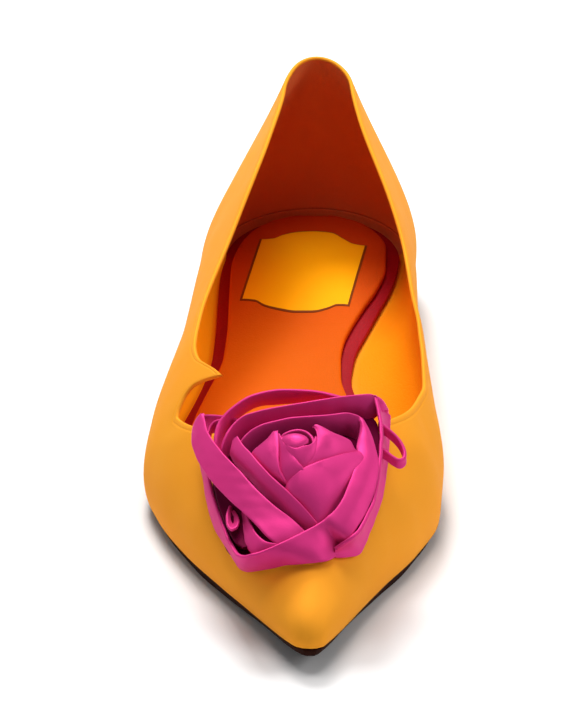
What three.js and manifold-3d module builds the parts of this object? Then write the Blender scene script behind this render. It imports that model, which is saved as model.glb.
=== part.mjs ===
// Pointed satin ballet flat, right shoe, as an assembly of separate solids in millimetres.
// +X is the inner (medial) side, -X the outer (lateral) side, the toe points to -Y, +Z is up, and the shoe stands on z = 0.
// Every surface comes from one last: q runs from the toe tip along each side and on round the heel, across runs from the
// feather line (1, where upper and sole meet) to the ridge on top (0).
import * as THREE from "three";
import Module from "manifold-3d";

// ---- named sizes -------------------------------------------------------------------------------------------------
const FEATHER_LENGTH = 256; // toe tip to heel end along the feather line
const HEEL_START = 225; // q where the rounded heel end begins
const HEEL_ARC = 45; // length of q round the heel, from the side to the middle of the back
const HEEL_DEPTH = FEATHER_LENGTH - HEEL_START;
const Q_END = HEEL_START + HEEL_ARC;
const WALL = 1.8; // satin, backing and lining together
const MARGIN = 8; // lasting margin turned in under the insole
const MARGIN_THICK = 1.1;
const GAP = 0.3; // between neighbouring pieces
const INSOLE_THICK = 1.4;
const SOCK_THICK = 1.6;
const SOLE_INSET = 0.2; // outsole edge inside the feather line, at its top
const SOLE_BEVEL = 1.2; // further inset at its underside
const FLAT_FROM = 55; // the forefoot stands flat between these two
const FLAT_TO = 100;
const BREAST = 203; // front face of the heel
const HEEL_INSET = 1.6;
const HEEL_TAPER = 1.6;
const PROFILE_POINTS = 12; // from topline to feather line
const STEP = 5.2; // spacing of the section lines round the shoe
const ROSE_SLOPE = 0.38; // the rose lies along the slope of the vamp
const ROSE_AT = { x: -3, v: 45, z: 33 };
const ROSE_DROOP = 0.006; // its rim bends down over the sides of the vamp

// ---- tables ------------------------------------------------------------------------------------------------------
const table = (names, rows) =>
  Object.fromEntries(names.split(" ").map((n, i) => [n, rows.map((r) => r[i])]));

// Plan of the feather line: half widths at v from the toe tip.
const OUTLINE = table("v lateral medial", [
  [0, 0, 0],
  [1, 3.1, 3.1],
  [4.5, 5.6, 4.9],
  [12, 9.5, 8.0],
  [25, 16.0, 13.0],
  [40, 23.8, 19.2],
  [60, 33.7, 28.3],
  [80, 41.3, 34.2],
  [95, 44.4, 34.6],
  [113, 42.4, 29.6],
  [128, 38.2, 21.5],
  [143, 34.2, 14.6],
  [153, 32.0, 12.9],
  [165, 30.2, 13.8],
  [180, 29.5, 17.5],
  [192, 29.3, 20.7],
  [204, 29.1, 23.8],
  [216, 28.6, 25.8],
  [225, 27.4, 26.6],
]);

// Side profile: floor is the feather line's height (toe spring, flat forefoot, heel pitch), rise the ridge above it,
// start the height at which the wall leaves the feather line, ridge the sideways place of the ridge.
const PROFILE = table("q floor rise start ridge", [
  [0, 7.6, 3.0, 2.0, 0],
  [3, 7.3, 6.8, 3.8, 0],
  [10, 6.6, 11.4, 5.8, 0.5],
  [25, 5.5, 18.8, 8.6, 1.0],
  [45, 4.6, 27.9, 12.1, 2.0],
  [65, 4.1, 36.5, 15.2, 3.0],
  [85, 4.1, 44.6, 18.2, 3.5],
  [110, 4.5, 53.6, 20.1, 2.9],
  [128, 5.4, 59.2, 21.5, 2.2],
  [145, 6.7, 63.6, 22.0, 1.4],
  [180, 9.4, 70.4, 22.0, 0],
  [200, 10.5, 73.2, 22.0, 0.4],
  [225, 10.9, 75.0, 22.0, 1.2],
  [270, 11.0, 75.0, 22.0, 1.2],
]);

// Wall shape: bulge pushes the lower wall out, tuck draws the middle in, lean draws the top in, all in mm.
const LATERAL = table("q bulge tuck lean", [
  [0, 1.0, 0, 1.0],
  [4.5, 1.6, 0, 2.0],
  [12, 2.4, 0, 3.4],
  [25, 2.8, 0, 5.3],
  [40, 3.5, 0.1, 7.0],
  [60, 4.2, 0.4, 9.6],
  [80, 5.1, 1.5, 12.2],
  [95, 6.1, 2.7, 14.1],
  [113, 9.3, 5.7, 15.5],
  [128, 15.3, 10.3, 15.2],
  [143, 19.8, 14.2, 15.6],
  [153, 22.5, 17.0, 16.3],
  [165, 25.4, 19.5, 19.2],
  [180, 24.0, 20.2, 21.2],
  [192, 21.7, 19.6, 23.6],
  [204, 19.2, 19.0, 25.6],
  [216, 18.6, 18.7, 27.2],
  [225, 15.0, 19.4, 23.4],
  [247, 10.0, 15.2, 18.6],
  [270, 8.7, 6.4, 11.2],
]);
const MEDIAL = table("q bulge tuck lean", [
  [0, 1.0, 0, 1.0],
  [4.5, 1.6, 0, 2.0],
  [12, 2.3, 0, 3.5],
  [25, 2.5, 0.1, 5.6],
  [40, 2.8, 0.2, 7.4],
  [60, 3.2, 0.3, 9.4],
  [80, 3.4, 0.3, 11.0],
  [95, 5.3, 1.0, 10.5],
  [113, 14.0, 4.0, 6.6],
  [128, 30.3, 11.4, -0.8],
  [143, 44.1, 18.4, -7.0],
  [153, 46.4, 20.1, -7.1],
  [165, 45.0, 19.1, -2.5],
  [180, 37.6, 15.9, 6.4],
  [192, 30.0, 13.6, 13.3],
  [204, 23.0, 12.7, 19.5],
  [216, 18.2, 13.5, 22.6],
  [225, 15.4, 14.6, 22.1],
  [247, 9.4, 12.4, 15.3],
  [270, 8.7, 6.4, 11.2],
]);

// Topline, from the middle of the back round to the middle of the throat: where it lies (q, across) and the feather
// station (foot) that its section line runs down to. corner 1 ends a smooth stretch.
const TOPLINE_LATERAL = table("q across foot corner", [
  [270, 0.3608, 270, 0],
  [258, 0.3698, 258, 0],
  [246, 0.3863, 246, 0],
  [235, 0.3976, 235, 0],
  [225, 0.4079, 225, 0],
  [212, 0.4366, 212, 0],
  [200, 0.4592, 200, 0],
  [188, 0.4845, 188, 0],
  [176, 0.5153, 176, 0],
  [164, 0.546, 164, 0],
  [152, 0.565, 153, 0],
  [140, 0.563, 145, 0],
  [128, 0.533, 138, 0],
  [118, 0.506, 132.5, 0],
  [111.5, 0.486, 128.5, 0],
  [103.7, 0.444, 125, 0],
  [97.9, 0.395, 122, 0],
  [93.4, 0.355, 119, 0],
  [89.4, 0.327, 115.5, 1], // point of the prong
  [91.0, 0.372, 112.5, 0],
  [92.4, 0.413, 108, 0],
  [93.3, 0.455, 102, 0],
  [92.6, 0.49, 97.5, 0],
  [91.0, 0.517, 94, 0],
  [89.3, 0.54, 91, 0],
  [87.8, 0.551, 88, 1], // inner corner of the notch
  [84.4, 0.53, 82, 0],
  [81.1, 0.503, 76, 0],
  [77.5, 0.462, 67, 0],
  [72.5, 0.385, 52, 0],
  [68.2, 0.29, 34, 0],
  [65.2, 0.2, 18, 0],
  [63.6, 0.13, 8.5, 0],
  [62.9, 0.08, 3.6, 0],
  [62.6, 0.045, 1.3, 0],
  [62.5, 0.02, 0.3, 0],
  [62.5, 0, 0, 1],
]);
const TOPLINE_MEDIAL = table("q across foot corner", [
  [270, 0.3608, 270, 0],
  [258, 0.3698, 258, 0],
  [246, 0.3875, 246, 0],
  [235, 0.4004, 235, 0],
  [225, 0.4141, 225, 0],
  [212, 0.4516, 212, 0],
  [200, 0.4876, 200, 0],
  [188, 0.5218, 188, 0],
  [176, 0.5552, 176, 0],
  [164, 0.583, 164, 0],
  [152, 0.603, 152, 0],
  [140, 0.613, 140, 0],
  [128, 0.613, 128, 0],
  [118, 0.603, 117, 0],
  [109, 0.585, 107, 0],
  [100.7, 0.555, 98, 0],
  [90.1, 0.501, 85, 0],
  [81.7, 0.436, 71, 0],
  [75.1, 0.358, 56, 0],
  [70.2, 0.275, 39, 0],
  [66.6, 0.2, 22, 0],
  [64.6, 0.14, 11, 0],
  [63.3, 0.09, 4.5, 0],
  [62.7, 0.05, 1.6, 0],
  [62.5, 0.02, 0.3, 0],
  [62.5, 0, 0, 1],
]);

// Underside of the outsole.
const SOLE_UNDER = table("v z", [
  [0, 4.9],
  [3, 4.6],
  [12, 3.6],
  [25, 2.2],
  [40, 0.8],
  [FLAT_FROM, 0],
  [FLAT_TO, 0],
  [115, 0.8],
  [145, 3.2],
  [180, 6.0],
  [203, 7.2],
  [256, 7.7],
]);

// Edge of the padded sock on the insole.
const SOCK = table("v lateral medial", [
  [46, -17.5, 14.5],
  [60, -25.0, 20.5],
  [80, -32.5, 25.5],
  [100, -35.5, 25.5],
  [115, -34.6, 21.5],
  [130, -32.3, 14.5],
  [143, -29.3, 9.3],
  [152, -27.0, 7.9],
  [162, -25.0, 7.8],
  [171, -24.4, 8.6],
  [180, -24.0, 10.7],
  [191, -23.9, 14.1],
  [202, -23.8, 17.7],
  [216, -23.6, 20.4],
  [230, -21.6, 20.6],
  [240, -18.0, 17.6],
  [247, -12.6, 12.4],
  [250.5, -6.0, 6.0],
]);

// Rim of the folded rose in plan, from its middle: angle in degrees (0 is the inner side, 90 the heel) and radius.
const ROSE_RIM = table("angle radius", [
  [0, 22.6],
  [32, 28.0],
  [60, 22.4],
  [90, 19.6],
  [122, 22.0],
  [150, 30.2],
  [176, 27.6],
  [214, 26.0],
  [236, 26.8],
  [268, 23.6],
  [300, 26.6],
  [326, 24.2],
  [360, 22.6],
]);
// Rings of the rose: share of the rim's radius at the inner and outer foot, then heights over the vamp's slope.
const ROSE_RINGS = table("name inner outer innerTop outerTop", [
  ["rose_frame", 0.74, 1.0, 8.5, 9.5],
  ["rose_petals", 0.27, 0.71, 13.0, 9.0],
]);
const ROSE_BUD = { radius: 4.6, top: 15.8, foot: 2.6 };

// ---- numbers between the rows --------------------------------------------------------------------------------------
function pchip(xs, ys) {
  const n = xs.length;
  const h = [];
  const d = [];
  for (let i = 0; i < n - 1; i++) {
    h[i] = xs[i + 1] - xs[i];
    d[i] = (ys[i + 1] - ys[i]) / h[i];
  }
  const end = (h0, h1, d0, d1) => {
    const m = ((2 * h0 + h1) * d0 - h0 * d1) / (h0 + h1);
    if (Math.sign(m) !== Math.sign(d0)) return 0;
    return Math.sign(d0) !== Math.sign(d1) && Math.abs(m) > 3 * Math.abs(d0) ? 3 * d0 : m;
  };
  const m = ys.map((_, i) => {
    if (i === 0) return end(h[0], h[1], d[0], d[1]);
    if (i === n - 1) return end(h[n - 2], h[n - 3], d[n - 2], d[n - 3]);
    if (d[i - 1] * d[i] <= 0) return 0;
    const a = 2 * h[i] + h[i - 1];
    const b = h[i] + 2 * h[i - 1];
    return (a + b) / (a / d[i - 1] + b / d[i]);
  });
  return (x) => {
    const c = Math.min(Math.max(x, xs[0]), xs[n - 1]);
    let i = 0;
    while (i < n - 2 && c > xs[i + 1]) i++;
    const t = (c - xs[i]) / h[i];
    return (
      ys[i] * (1 + 2 * t) * (1 - t) ** 2 +
      m[i] * h[i] * t * (1 - t) ** 2 +
      ys[i + 1] * t * t * (3 - 2 * t) +
      m[i + 1] * h[i] * t * t * (t - 1)
    );
  };
}

const root = (v) => Math.sqrt(Math.max(v, 0)); // half widths are smooth in this, so the toe tip is round
const halfWidth = {
  [-1]: pchip(OUTLINE.v.map(root), OUTLINE.lateral),
  [1]: pchip(OUTLINE.v.map(root), OUTLINE.medial),
};
const floorAt = pchip(PROFILE.q.slice(0, -1).concat(FEATHER_LENGTH), PROFILE.floor);
const riseAt = pchip(PROFILE.q, PROFILE.rise);
const startAt = pchip(PROFILE.q, PROFILE.start);
const ridgeAt = pchip(PROFILE.q, PROFILE.ridge);
// Both sides meet level at the middle of the back, so the last row but one is repeated beyond it.
const past = (xs, ys) =>
  pchip(xs.concat(2 * xs[xs.length - 1] - xs[xs.length - 2]), ys.concat(ys[ys.length - 2]));
const walls = { [-1]: LATERAL, [1]: MEDIAL };
const wall = Object.fromEntries(
  [-1, 1].map((side) => [
    side,
    {
      bulge: past(walls[side].q, walls[side].bulge),
      tuck: past(walls[side].q, walls[side].tuck),
      lean: past(walls[side].q, walls[side].lean),
    },
  ]),
);
const soleUnder = pchip(SOLE_UNDER.v, SOLE_UNDER.z);

// ---- the last --------------------------------------------------------------------------------------------------------
// A point of the feather line in plan, as [x, v], and the middle that the wall leans towards.
function feather(q, side) {
  const v = Math.min(q, HEEL_START);
  const turn = (Math.min(Math.max((q - HEEL_START) / HEEL_ARC, 0), 1) * Math.PI) / 2;
  const w = halfWidth[side](root(v));
  return {
    x: side * w * Math.cos(turn),
    v: v + HEEL_DEPTH * Math.sin(turn),
    mx: ridgeAt(q),
    mv: v,
  };
}

// A point of the last's surface.
function last(q, side, across) {
  const f = feather(q, side);
  const dx = f.mx - f.x;
  const dv = f.mv - f.v;
  const far = Math.max(Math.hypot(dx, dv), 1e-6);
  const t = 1 - across;
  const u = across;
  const full = Math.min(1, far / 8); // the handles shrink with the section at the toe tip
  const bulge = wall[side].bulge(q) * full;
  const tuck = wall[side].tuck(q) * full;
  const lean = wall[side].lean(q) * full;
  const rise = riseAt(q);
  const start = Math.min(startAt(q), rise * 0.8);
  const a =
    -3 * u * u * t * bulge + 6 * u * u * t * t * tuck + 3 * u * t * t * lean + t ** 3 * far;
  const h = 3 * u * u * t * start + 3 * u * t * t * rise + t ** 3 * rise;
  const v = f.v + (dv / far) * a;
  return new THREE.Vector3(f.x + (dx / far) * a, v - FEATHER_LENGTH / 2, floorAt(f.v) + h);
}

// Height of the last's top at a plan point ahead of the heel.
function vampTop(x, y) {
  const q = y + FEATHER_LENGTH / 2;
  const side = x >= ridgeAt(q) ? 1 : -1;
  let lo = 0;
  let hi = 1;
  for (let k = 0; k < 30; k++) {
    const mid = (lo + hi) / 2;
    if ((last(q, side, mid).x - x) * side < 0) lo = mid;
    else hi = mid;
  }
  return last(q, side, hi).z;
}

// Plan point of the feather line moved in by inset, less where the toe is too narrow for it.
function insetFeather(q, side, inset) {
  const e = 0.05;
  const a = feather(Math.max(q - e, 0), side);
  const b = feather(Math.min(q + e, Q_END), side);
  const f = feather(q, side);
  const tx = b.x - a.x;
  const tv = b.v - a.v;
  const l = Math.hypot(tx, tv) || 1;
  const d = Math.min(inset, 0.35 * Math.abs(f.x) + 0.5 + (q > HEEL_START ? inset : 0));
  // the inward normal is the tangent turned towards the middle
  let x = f.x - side * Math.abs(tv / l) * d;
  const v = f.v + (tx / l) * side * d;
  if (x * side < 0) x = 0;
  return { x, v };
}

// ---- meshes ------------------------------------------------------------------------------------------------------------
// Closed section loops joined in order. wrap joins the last to the first; otherwise the two ends are capped, pairing
// point j with its opposite across the section.
function loft(loops, wrap) {
  const n = loops[0].length;
  const position = loops.flat().flatMap((p) => [p.x, p.y, p.z]);
  const index = [];
  const m = loops.length;
  for (let i = 0; i < (wrap ? m : m - 1); i++)
    for (let j = 0; j < n; j++) {
      const a = i * n + j;
      const b = i * n + ((j + 1) % n);
      const c = ((i + 1) % m) * n + ((j + 1) % n);
      const d = ((i + 1) % m) * n + j;
      index.push(a, b, c, a, c, d);
    }
  if (!wrap)
    for (const [i, flip] of [
      [0, true],
      [m - 1, false],
    ])
      for (let j = 0; j < n / 2 - 1; j++) {
        const a = i * n + j;
        const b = i * n + j + 1;
        const c = i * n + (n - 2 - j);
        const d = i * n + (n - 1 - j);
        if (flip) index.push(a, c, b, a, d, c);
        else index.push(a, b, c, a, c, d);
      }
  return solid(position, index);
}

function volume(position, index) {
  let sum = 0;
  const p = (i) => new THREE.Vector3().fromArray(position, i * 3);
  for (let i = 0; i < index.length; i += 3)
    sum += p(index[i]).dot(p(index[i + 1]).cross(p(index[i + 2]))) / 6;
  return sum;
}

function solid(position, index) {
  if (volume(position, index) < 0)
    for (let i = 0; i < index.length; i += 3)
      [index[i + 1], index[i + 2]] = [index[i + 2], index[i + 1]];
  const g = new THREE.BufferGeometry();
  g.setAttribute("position", new THREE.Float32BufferAttribute(position, 3));
  g.setIndex(index);
  return g;
}

// A plate under or in the shoe: stations from toe to heel, top and bottom heights from their own functions of v.
function plate(stations, edgeTop, edgeBottom, top, bottom, splits = 6) {
  const at = (p, v, z) => new THREE.Vector3(p, v - FEATHER_LENGTH / 2, z(v));
  const row = (edge, z, q) => {
    const l = edge(q, -1);
    const r = edge(q, 1);
    return Array.from({ length: splits + 1 }, (_, j) => {
      const s = j / splits;
      return at(l.x + (r.x - l.x) * s, l.v + (r.v - l.v) * s, z);
    });
  };
  return loft(
    stations.map((q) => [...row(edgeTop, top, q), ...row(edgeBottom, bottom, q).reverse()]),
    false,
  );
}

const spread = (from, to, n) =>
  Array.from({ length: n + 1 }, (_, i) => from + ((to - from) * i) / n);

// ---- upper -------------------------------------------------------------------------------------------------------------
// The topline of one side as a list of {x, q, foot}, x being across times the half width there, so that the section
// lines are straight in that plan.
function toplinePath(rows, side) {
  const width = (q) => halfWidth[side](root(Math.min(q, HEEL_START)));
  const pts = rows.q.map((q, i) => ({
    x: rows.across[i] * width(q),
    q,
    foot: rows.foot[i],
    corner: rows.corner[i],
  }));
  const out = [];
  let from = 0;
  for (let i = 1; i < pts.length; i++) {
    if (!pts[i].corner) continue;
    const part = pts.slice(from, i + 1);
    const t = [0];
    for (let k = 1; k < part.length; k++)
      t[k] =
        t[k - 1] +
        Math.hypot(part[k].x - part[k - 1].x, part[k].q - part[k - 1].q) +
        0.5 * Math.abs(part[k].foot - part[k - 1].foot);
    const slope = (key, k) => {
      if (k === 0) return (part[1][key] - part[0][key]) / (t[1] - t[0]);
      const e = part.length - 1;
      if (k === e)
        return key === "q" && i === pts.length - 1
          ? 0
          : (part[e][key] - part[e - 1][key]) / (t[e] - t[e - 1]);
      return (part[k + 1][key] - part[k - 1][key]) / (t[k + 1] - t[k - 1]);
    };
    for (let k = 0; k < part.length - 1; k++) {
      const h = t[k + 1] - t[k];
      const long = Math.max(
        Math.hypot(part[k + 1].x - part[k].x, part[k + 1].q - part[k].q),
        Math.abs(part[k + 1].foot - part[k].foot),
      );
      const steps = Math.max(1, Math.round(long / STEP));
      for (let s = 0; s < steps; s++) {
        const w = s / steps;
        const point = {};
        for (const key of ["x", "q", "foot"])
          point[key] =
            part[k][key] * (1 + 2 * w) * (1 - w) ** 2 +
            slope(key, k) * h * w * (1 - w) ** 2 +
            part[k + 1][key] * w * w * (3 - 2 * w) +
            slope(key, k + 1) * h * w * w * (w - 1);
        out.push(point);
      }
    }
    from = i;
  }
  out.push(pts[pts.length - 1]);
  return out;
}

// One section line of the outer surface, from the topline down to the feather line, with evenly spaced points.
function sectionLine(p, side) {
  const fine = 160;
  const footWidth = halfWidth[side](root(Math.min(p.foot, HEEL_START)));
  const dense = [];
  for (let i = 0; i <= fine; i++) {
    const t = i / fine;
    if (p.foot < 1e-6) {
      // the middle line: down the ridge, then down the blunt tip
      const ridge = Math.min(t / 0.9, 1);
      dense.push(last(p.q * (1 - ridge), side, Math.max((t - 0.9) / 0.1, 0)));
      continue;
    }
    const s = 1 - (1 - t) ** 1.6;
    const q = p.q + (p.foot - p.q) * s;
    const x = p.x + (footWidth - p.x) * s;
    const w = Math.max(halfWidth[side](root(Math.min(q, HEEL_START))), 1e-4);
    dense.push(last(q, side, Math.min(x / w, 1)));
  }
  const along = [0];
  for (let i = 1; i < dense.length; i++) along[i] = along[i - 1] + dense[i].distanceTo(dense[i - 1]);
  const total = along[along.length - 1];
  const line = [];
  let k = 0;
  for (let j = 0; j < PROFILE_POINTS; j++) {
    const want = (total * j) / (PROFILE_POINTS - 1);
    while (k < along.length - 2 && along[k + 1] < want) k++;
    const f = Math.min(Math.max((want - along[k]) / (along[k + 1] - along[k] || 1), 0), 1);
    line.push(dense[k].clone().lerp(dense[k + 1], f));
  }
  return line;
}

function upper() {
  const lateral = toplinePath(TOPLINE_LATERAL, -1).map((p) => ({ ...p, side: -1 }));
  const medial = toplinePath(TOPLINE_MEDIAL, 1).map((p) => ({ ...p, side: 1 }));
  // once round: middle of the back, lateral side, throat and toe, medial side
  const round = [...lateral, ...medial.slice(1, -1).reverse()];
  const grid = round.map((p) => sectionLine(p, p.side));
  const m = grid.length;
  const normal = (i, j) => {
    const a = grid[(i + 1) % m][j].clone().sub(grid[(i + m - 1) % m][j]);
    const b = grid[i][Math.min(j + 1, PROFILE_POINTS - 1)].clone().sub(grid[i][Math.max(j - 1, 0)]);
    return a.cross(b).normalize();
  };
  // outward is away from the middle of the foot
  const sign = normal(0, 6).y > 0 ? 1 : -1;
  const loops = round.map((p, i) => {
    const outer = grid[i];
    const inner = outer.map((o, j) => o.clone().addScaledVector(normal(i, j), -sign * WALL));
    const foot = outer[PROFILE_POINTS - 1];
    const base = insetFeather(p.foot, p.side, WALL);
    const tongue = insetFeather(p.foot, p.side, MARGIN);
    const y = (v) => v - FEATHER_LENGTH / 2;
    const knee = new THREE.Vector3(base.x, y(base.v), floorAt(base.v) + MARGIN_THICK);
    const over = new THREE.Vector3(tongue.x, y(tongue.v), floorAt(tongue.v) + MARGIN_THICK);
    const under = new THREE.Vector3(tongue.x, y(tongue.v), floorAt(tongue.v));
    const half = new THREE.Vector3((foot.x + under.x) / 2, (foot.y + under.y) / 2, 0);
    half.z = floorAt(half.y + FEATHER_LENGTH / 2);
    return [...outer, half, under, over, knee, ...inner.slice(0, -1).reverse()];
  });
  return loft(loops, true);
}

// ---- sole, heel, insole and sock ----------------------------------------------------------------------------------------
const SOLE_STATIONS = [
  0.3, 1, 2.5, 5, 9, 14, 20, 27, 34, 42, 50, FLAT_FROM, 62, 70, 78, 86, 93, FLAT_TO, 107, 115, 123, 131, 139, 147, 155,
  163, 171, 180, 189, 198, 207, 216, 225, 230, 235, 240, 245, 250, 255, 260, 265, 268.6,
];
const outsole = () =>
  plate(
    SOLE_STATIONS,
    (q, side) => insetFeather(q, side, SOLE_INSET),
    (q, side) => insetFeather(q, side, SOLE_INSET + SOLE_BEVEL),
    (v) => floorAt(v) - GAP,
    soleUnder,
  );
const heel = () =>
  plate(
    [BREAST, ...SOLE_STATIONS.filter((q) => q > BREAST)],
    (q, side) => insetFeather(q, side, HEEL_INSET + SOLE_BEVEL),
    (q, side) => insetFeather(q, side, HEEL_INSET + SOLE_BEVEL + HEEL_TAPER),
    (v) => soleUnder(v) - GAP,
    () => 0,
    4,
  );
const insoleBase = MARGIN_THICK + GAP;
const insole = () =>
  plate(
    SOLE_STATIONS.filter((q) => q > 4),
    (q, side) => insetFeather(q, side, WALL + 0.45),
    (q, side) => insetFeather(q, side, WALL + 0.45),
    (v) => floorAt(v) + insoleBase + INSOLE_THICK,
    (v) => floorAt(v) + insoleBase,
    5,
  );
const sockBase = insoleBase + INSOLE_THICK + GAP;
const sockEdge = {
  [-1]: pchip(SOCK.v, SOCK.lateral),
  [1]: pchip(SOCK.v, SOCK.medial),
};
const sockPad = () =>
  plate(
    [...spread(46, 240, 34), 244, 247, 249, 250.5],
    (v, side) => ({ x: sockEdge[side](v) * 0.99, v }),
    (v, side) => ({ x: sockEdge[side](v), v }),
    (v) => floorAt(v) + sockBase + SOCK_THICK,
    (v) => floorAt(v) + sockBase,
    5,
  );

// ---- rose ----------------------------------------------------------------------------------------------------------------
const roseRim = pchip(ROSE_RIM.angle, ROSE_RIM.radius);
// Height of the rose's own base: the vamp's slope, bent down to both sides.
const roseBase = (x, v) =>
  ROSE_AT.z + ROSE_SLOPE * (v - ROSE_AT.v) - ROSE_DROOP * (x - ROSE_AT.x) ** 2;
function rosePoint(angle, radius, height) {
  const x = ROSE_AT.x + radius * Math.cos(angle);
  const v = ROSE_AT.v + radius * Math.sin(angle);
  const y = v - FEATHER_LENGTH / 2;
  const clear = vampTop(x, y) + 2 * GAP;
  const z = height === null ? Math.max(roseBase(x, v) - 1, clear) : roseBase(x, v) + height;
  return new THREE.Vector3(x, y, Math.max(z, clear + (height === null ? 0 : 1.5)));
}
function roseRing(i) {
  const r = ROSE_RINGS;
  const parts = 40;
  const across = 4;
  return loft(
    spread(0, 360, parts)
      .slice(0, -1)
      .map((deg) => {
        const a = (deg * Math.PI) / 180;
        const rim = roseRim(deg);
        const foot = spread(rim * r.inner[i], rim * r.outer[i], across);
        const top = spread(r.innerTop[i], r.outerTop[i], across);
        return [
          ...foot.map((radius, k) => rosePoint(a, radius, top[k])),
          ...foot.map((radius) => rosePoint(a, radius, null)).reverse(),
        ];
      }),
    true,
  );
}
function roseBud() {
  const { radius, top, foot } = ROSE_BUD;
  const g = new THREE.LatheGeometry(
    [
      [0, 0],
      [radius * 0.8, 0],
      [radius, 2],
      [radius, top - foot - 3],
      [radius * 0.7, top - foot - 0.8],
      [0, top - foot],
    ].map(([x, y]) => new THREE.Vector2(x, y)),
    20,
  );
  g.rotateX(Math.PI / 2);
  g.translate(ROSE_AT.x, ROSE_AT.v - FEATHER_LENGTH / 2, ROSE_AT.z + foot);
  return g;
}

// ---- assembly --------------------------------------------------------------------------------------------------------------
const wasm = await Module();
wasm.setup();
// A closed, checked body: the kernel refuses what isn't one surface.
function checked(g) {
  const flat = g.index ? g : g.clone();
  const positions = flat.getAttribute("position").array;
  const seen = new Map();
  const remap = [];
  const verts = [];
  for (let i = 0; i < positions.length; i += 3) {
    const key = [0, 1, 2].map((k) => Math.round(positions[i + k] * 2000)).join();
    if (!seen.has(key)) {
      seen.set(key, verts.length / 3);
      verts.push(positions[i], positions[i + 1], positions[i + 2]);
    }
    remap.push(seen.get(key));
  }
  const tris = [];
  const idx = flat.index.array;
  for (let i = 0; i < idx.length; i += 3) {
    const [a, b, c] = [remap[idx[i]], remap[idx[i + 1]], remap[idx[i + 2]]];
    if (a !== b && b !== c && c !== a) tris.push(a, b, c);
  }
  const body = new wasm.Manifold(
    new wasm.Mesh({
      numProp: 3,
      vertProperties: new Float32Array(verts),
      triVerts: new Uint32Array(tris),
    }),
  );
  const mesh = body.getMesh();
  const out = new THREE.BufferGeometry();
  const xyz = new Float32Array(mesh.numVert * 3);
  for (let i = 0; i < mesh.numVert; i++)
    xyz.set(mesh.vertProperties.subarray(i * mesh.numProp, i * mesh.numProp + 3), i * 3);
  out.setAttribute("position", new THREE.BufferAttribute(xyz, 3));
  out.setIndex(new THREE.BufferAttribute(new Uint32Array(mesh.triVerts), 1));
  out.computeVertexNormals();
  return out;
}

const group = new THREE.Group();
function add(name, geometry, color, roughness) {
  const mesh = new THREE.Mesh(
    checked(geometry),
    new THREE.MeshStandardMaterial({ color, roughness, metalness: 0 }),
  );
  mesh.name = name;
  group.add(mesh);
}
add("upper", upper(), 0xf2a338, 0.45);
add("outsole", outsole(), 0x3a1a10, 0.6);
add("heel", heel(), 0x2e1610, 0.6);
add("insole", insole(), 0xa80f2c, 0.6);
add("sock_pad", sockPad(), 0xe06414, 0.6);
ROSE_RINGS.name.forEach((name, i) => add(name, roseRing(i), 0xd6338a, 0.5));
add("rose_bud", roseBud(), 0xc22878, 0.5);

// The frame's origin is the middle of the whole shoe's box, on the floor.
const box = new THREE.Box3().setFromObject(group);
const middle = box.getCenter(new THREE.Vector3());
group.position.set(-middle.x, -middle.y, -box.min.z);

export default group;
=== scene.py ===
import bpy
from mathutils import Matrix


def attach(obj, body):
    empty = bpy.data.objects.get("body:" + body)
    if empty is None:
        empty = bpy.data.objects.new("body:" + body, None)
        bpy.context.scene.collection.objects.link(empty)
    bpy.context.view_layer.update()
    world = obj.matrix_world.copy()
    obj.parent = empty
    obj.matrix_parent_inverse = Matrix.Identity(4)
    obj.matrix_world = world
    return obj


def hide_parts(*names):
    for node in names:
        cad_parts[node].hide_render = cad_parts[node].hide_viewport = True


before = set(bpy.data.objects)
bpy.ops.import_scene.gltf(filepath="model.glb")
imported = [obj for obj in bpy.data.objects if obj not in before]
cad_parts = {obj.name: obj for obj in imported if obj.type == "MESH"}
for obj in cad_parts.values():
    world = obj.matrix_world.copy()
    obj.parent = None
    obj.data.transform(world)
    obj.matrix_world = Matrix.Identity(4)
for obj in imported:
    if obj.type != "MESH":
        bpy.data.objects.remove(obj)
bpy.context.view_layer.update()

import math

import bpy
import numpy as np
from mathutils import Matrix, Vector

# ---- sizes and tables, the same as the solids' -----------------------------------------------------------------
FEATHER_LENGTH = 256.0
HEEL_START = 225.0
HEEL_ARC = 45.0
HEEL_DEPTH = FEATHER_LENGTH - HEEL_START
Q_END = HEEL_START + HEEL_ARC
WALL = 1.8
MARGIN = 8.0
MARGIN_THICK = 1.1
GAP = 0.3
INSOLE_THICK = 1.4
SOCK_THICK = 1.6
SOLE_INSET = 0.2
SOLE_BEVEL = 1.2
FLAT_FROM = 55.0
FLAT_TO = 100.0
BREAST = 203.0
HEEL_INSET = 1.6
HEEL_TAPER = 1.6
SHIFT = np.array([4.8959, -0.7455, 0.0])  # from the last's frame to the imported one


def table(names, rows):
    return {n: np.array([r[i] for r in rows], float) for i, n in enumerate(names.split())}


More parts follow.
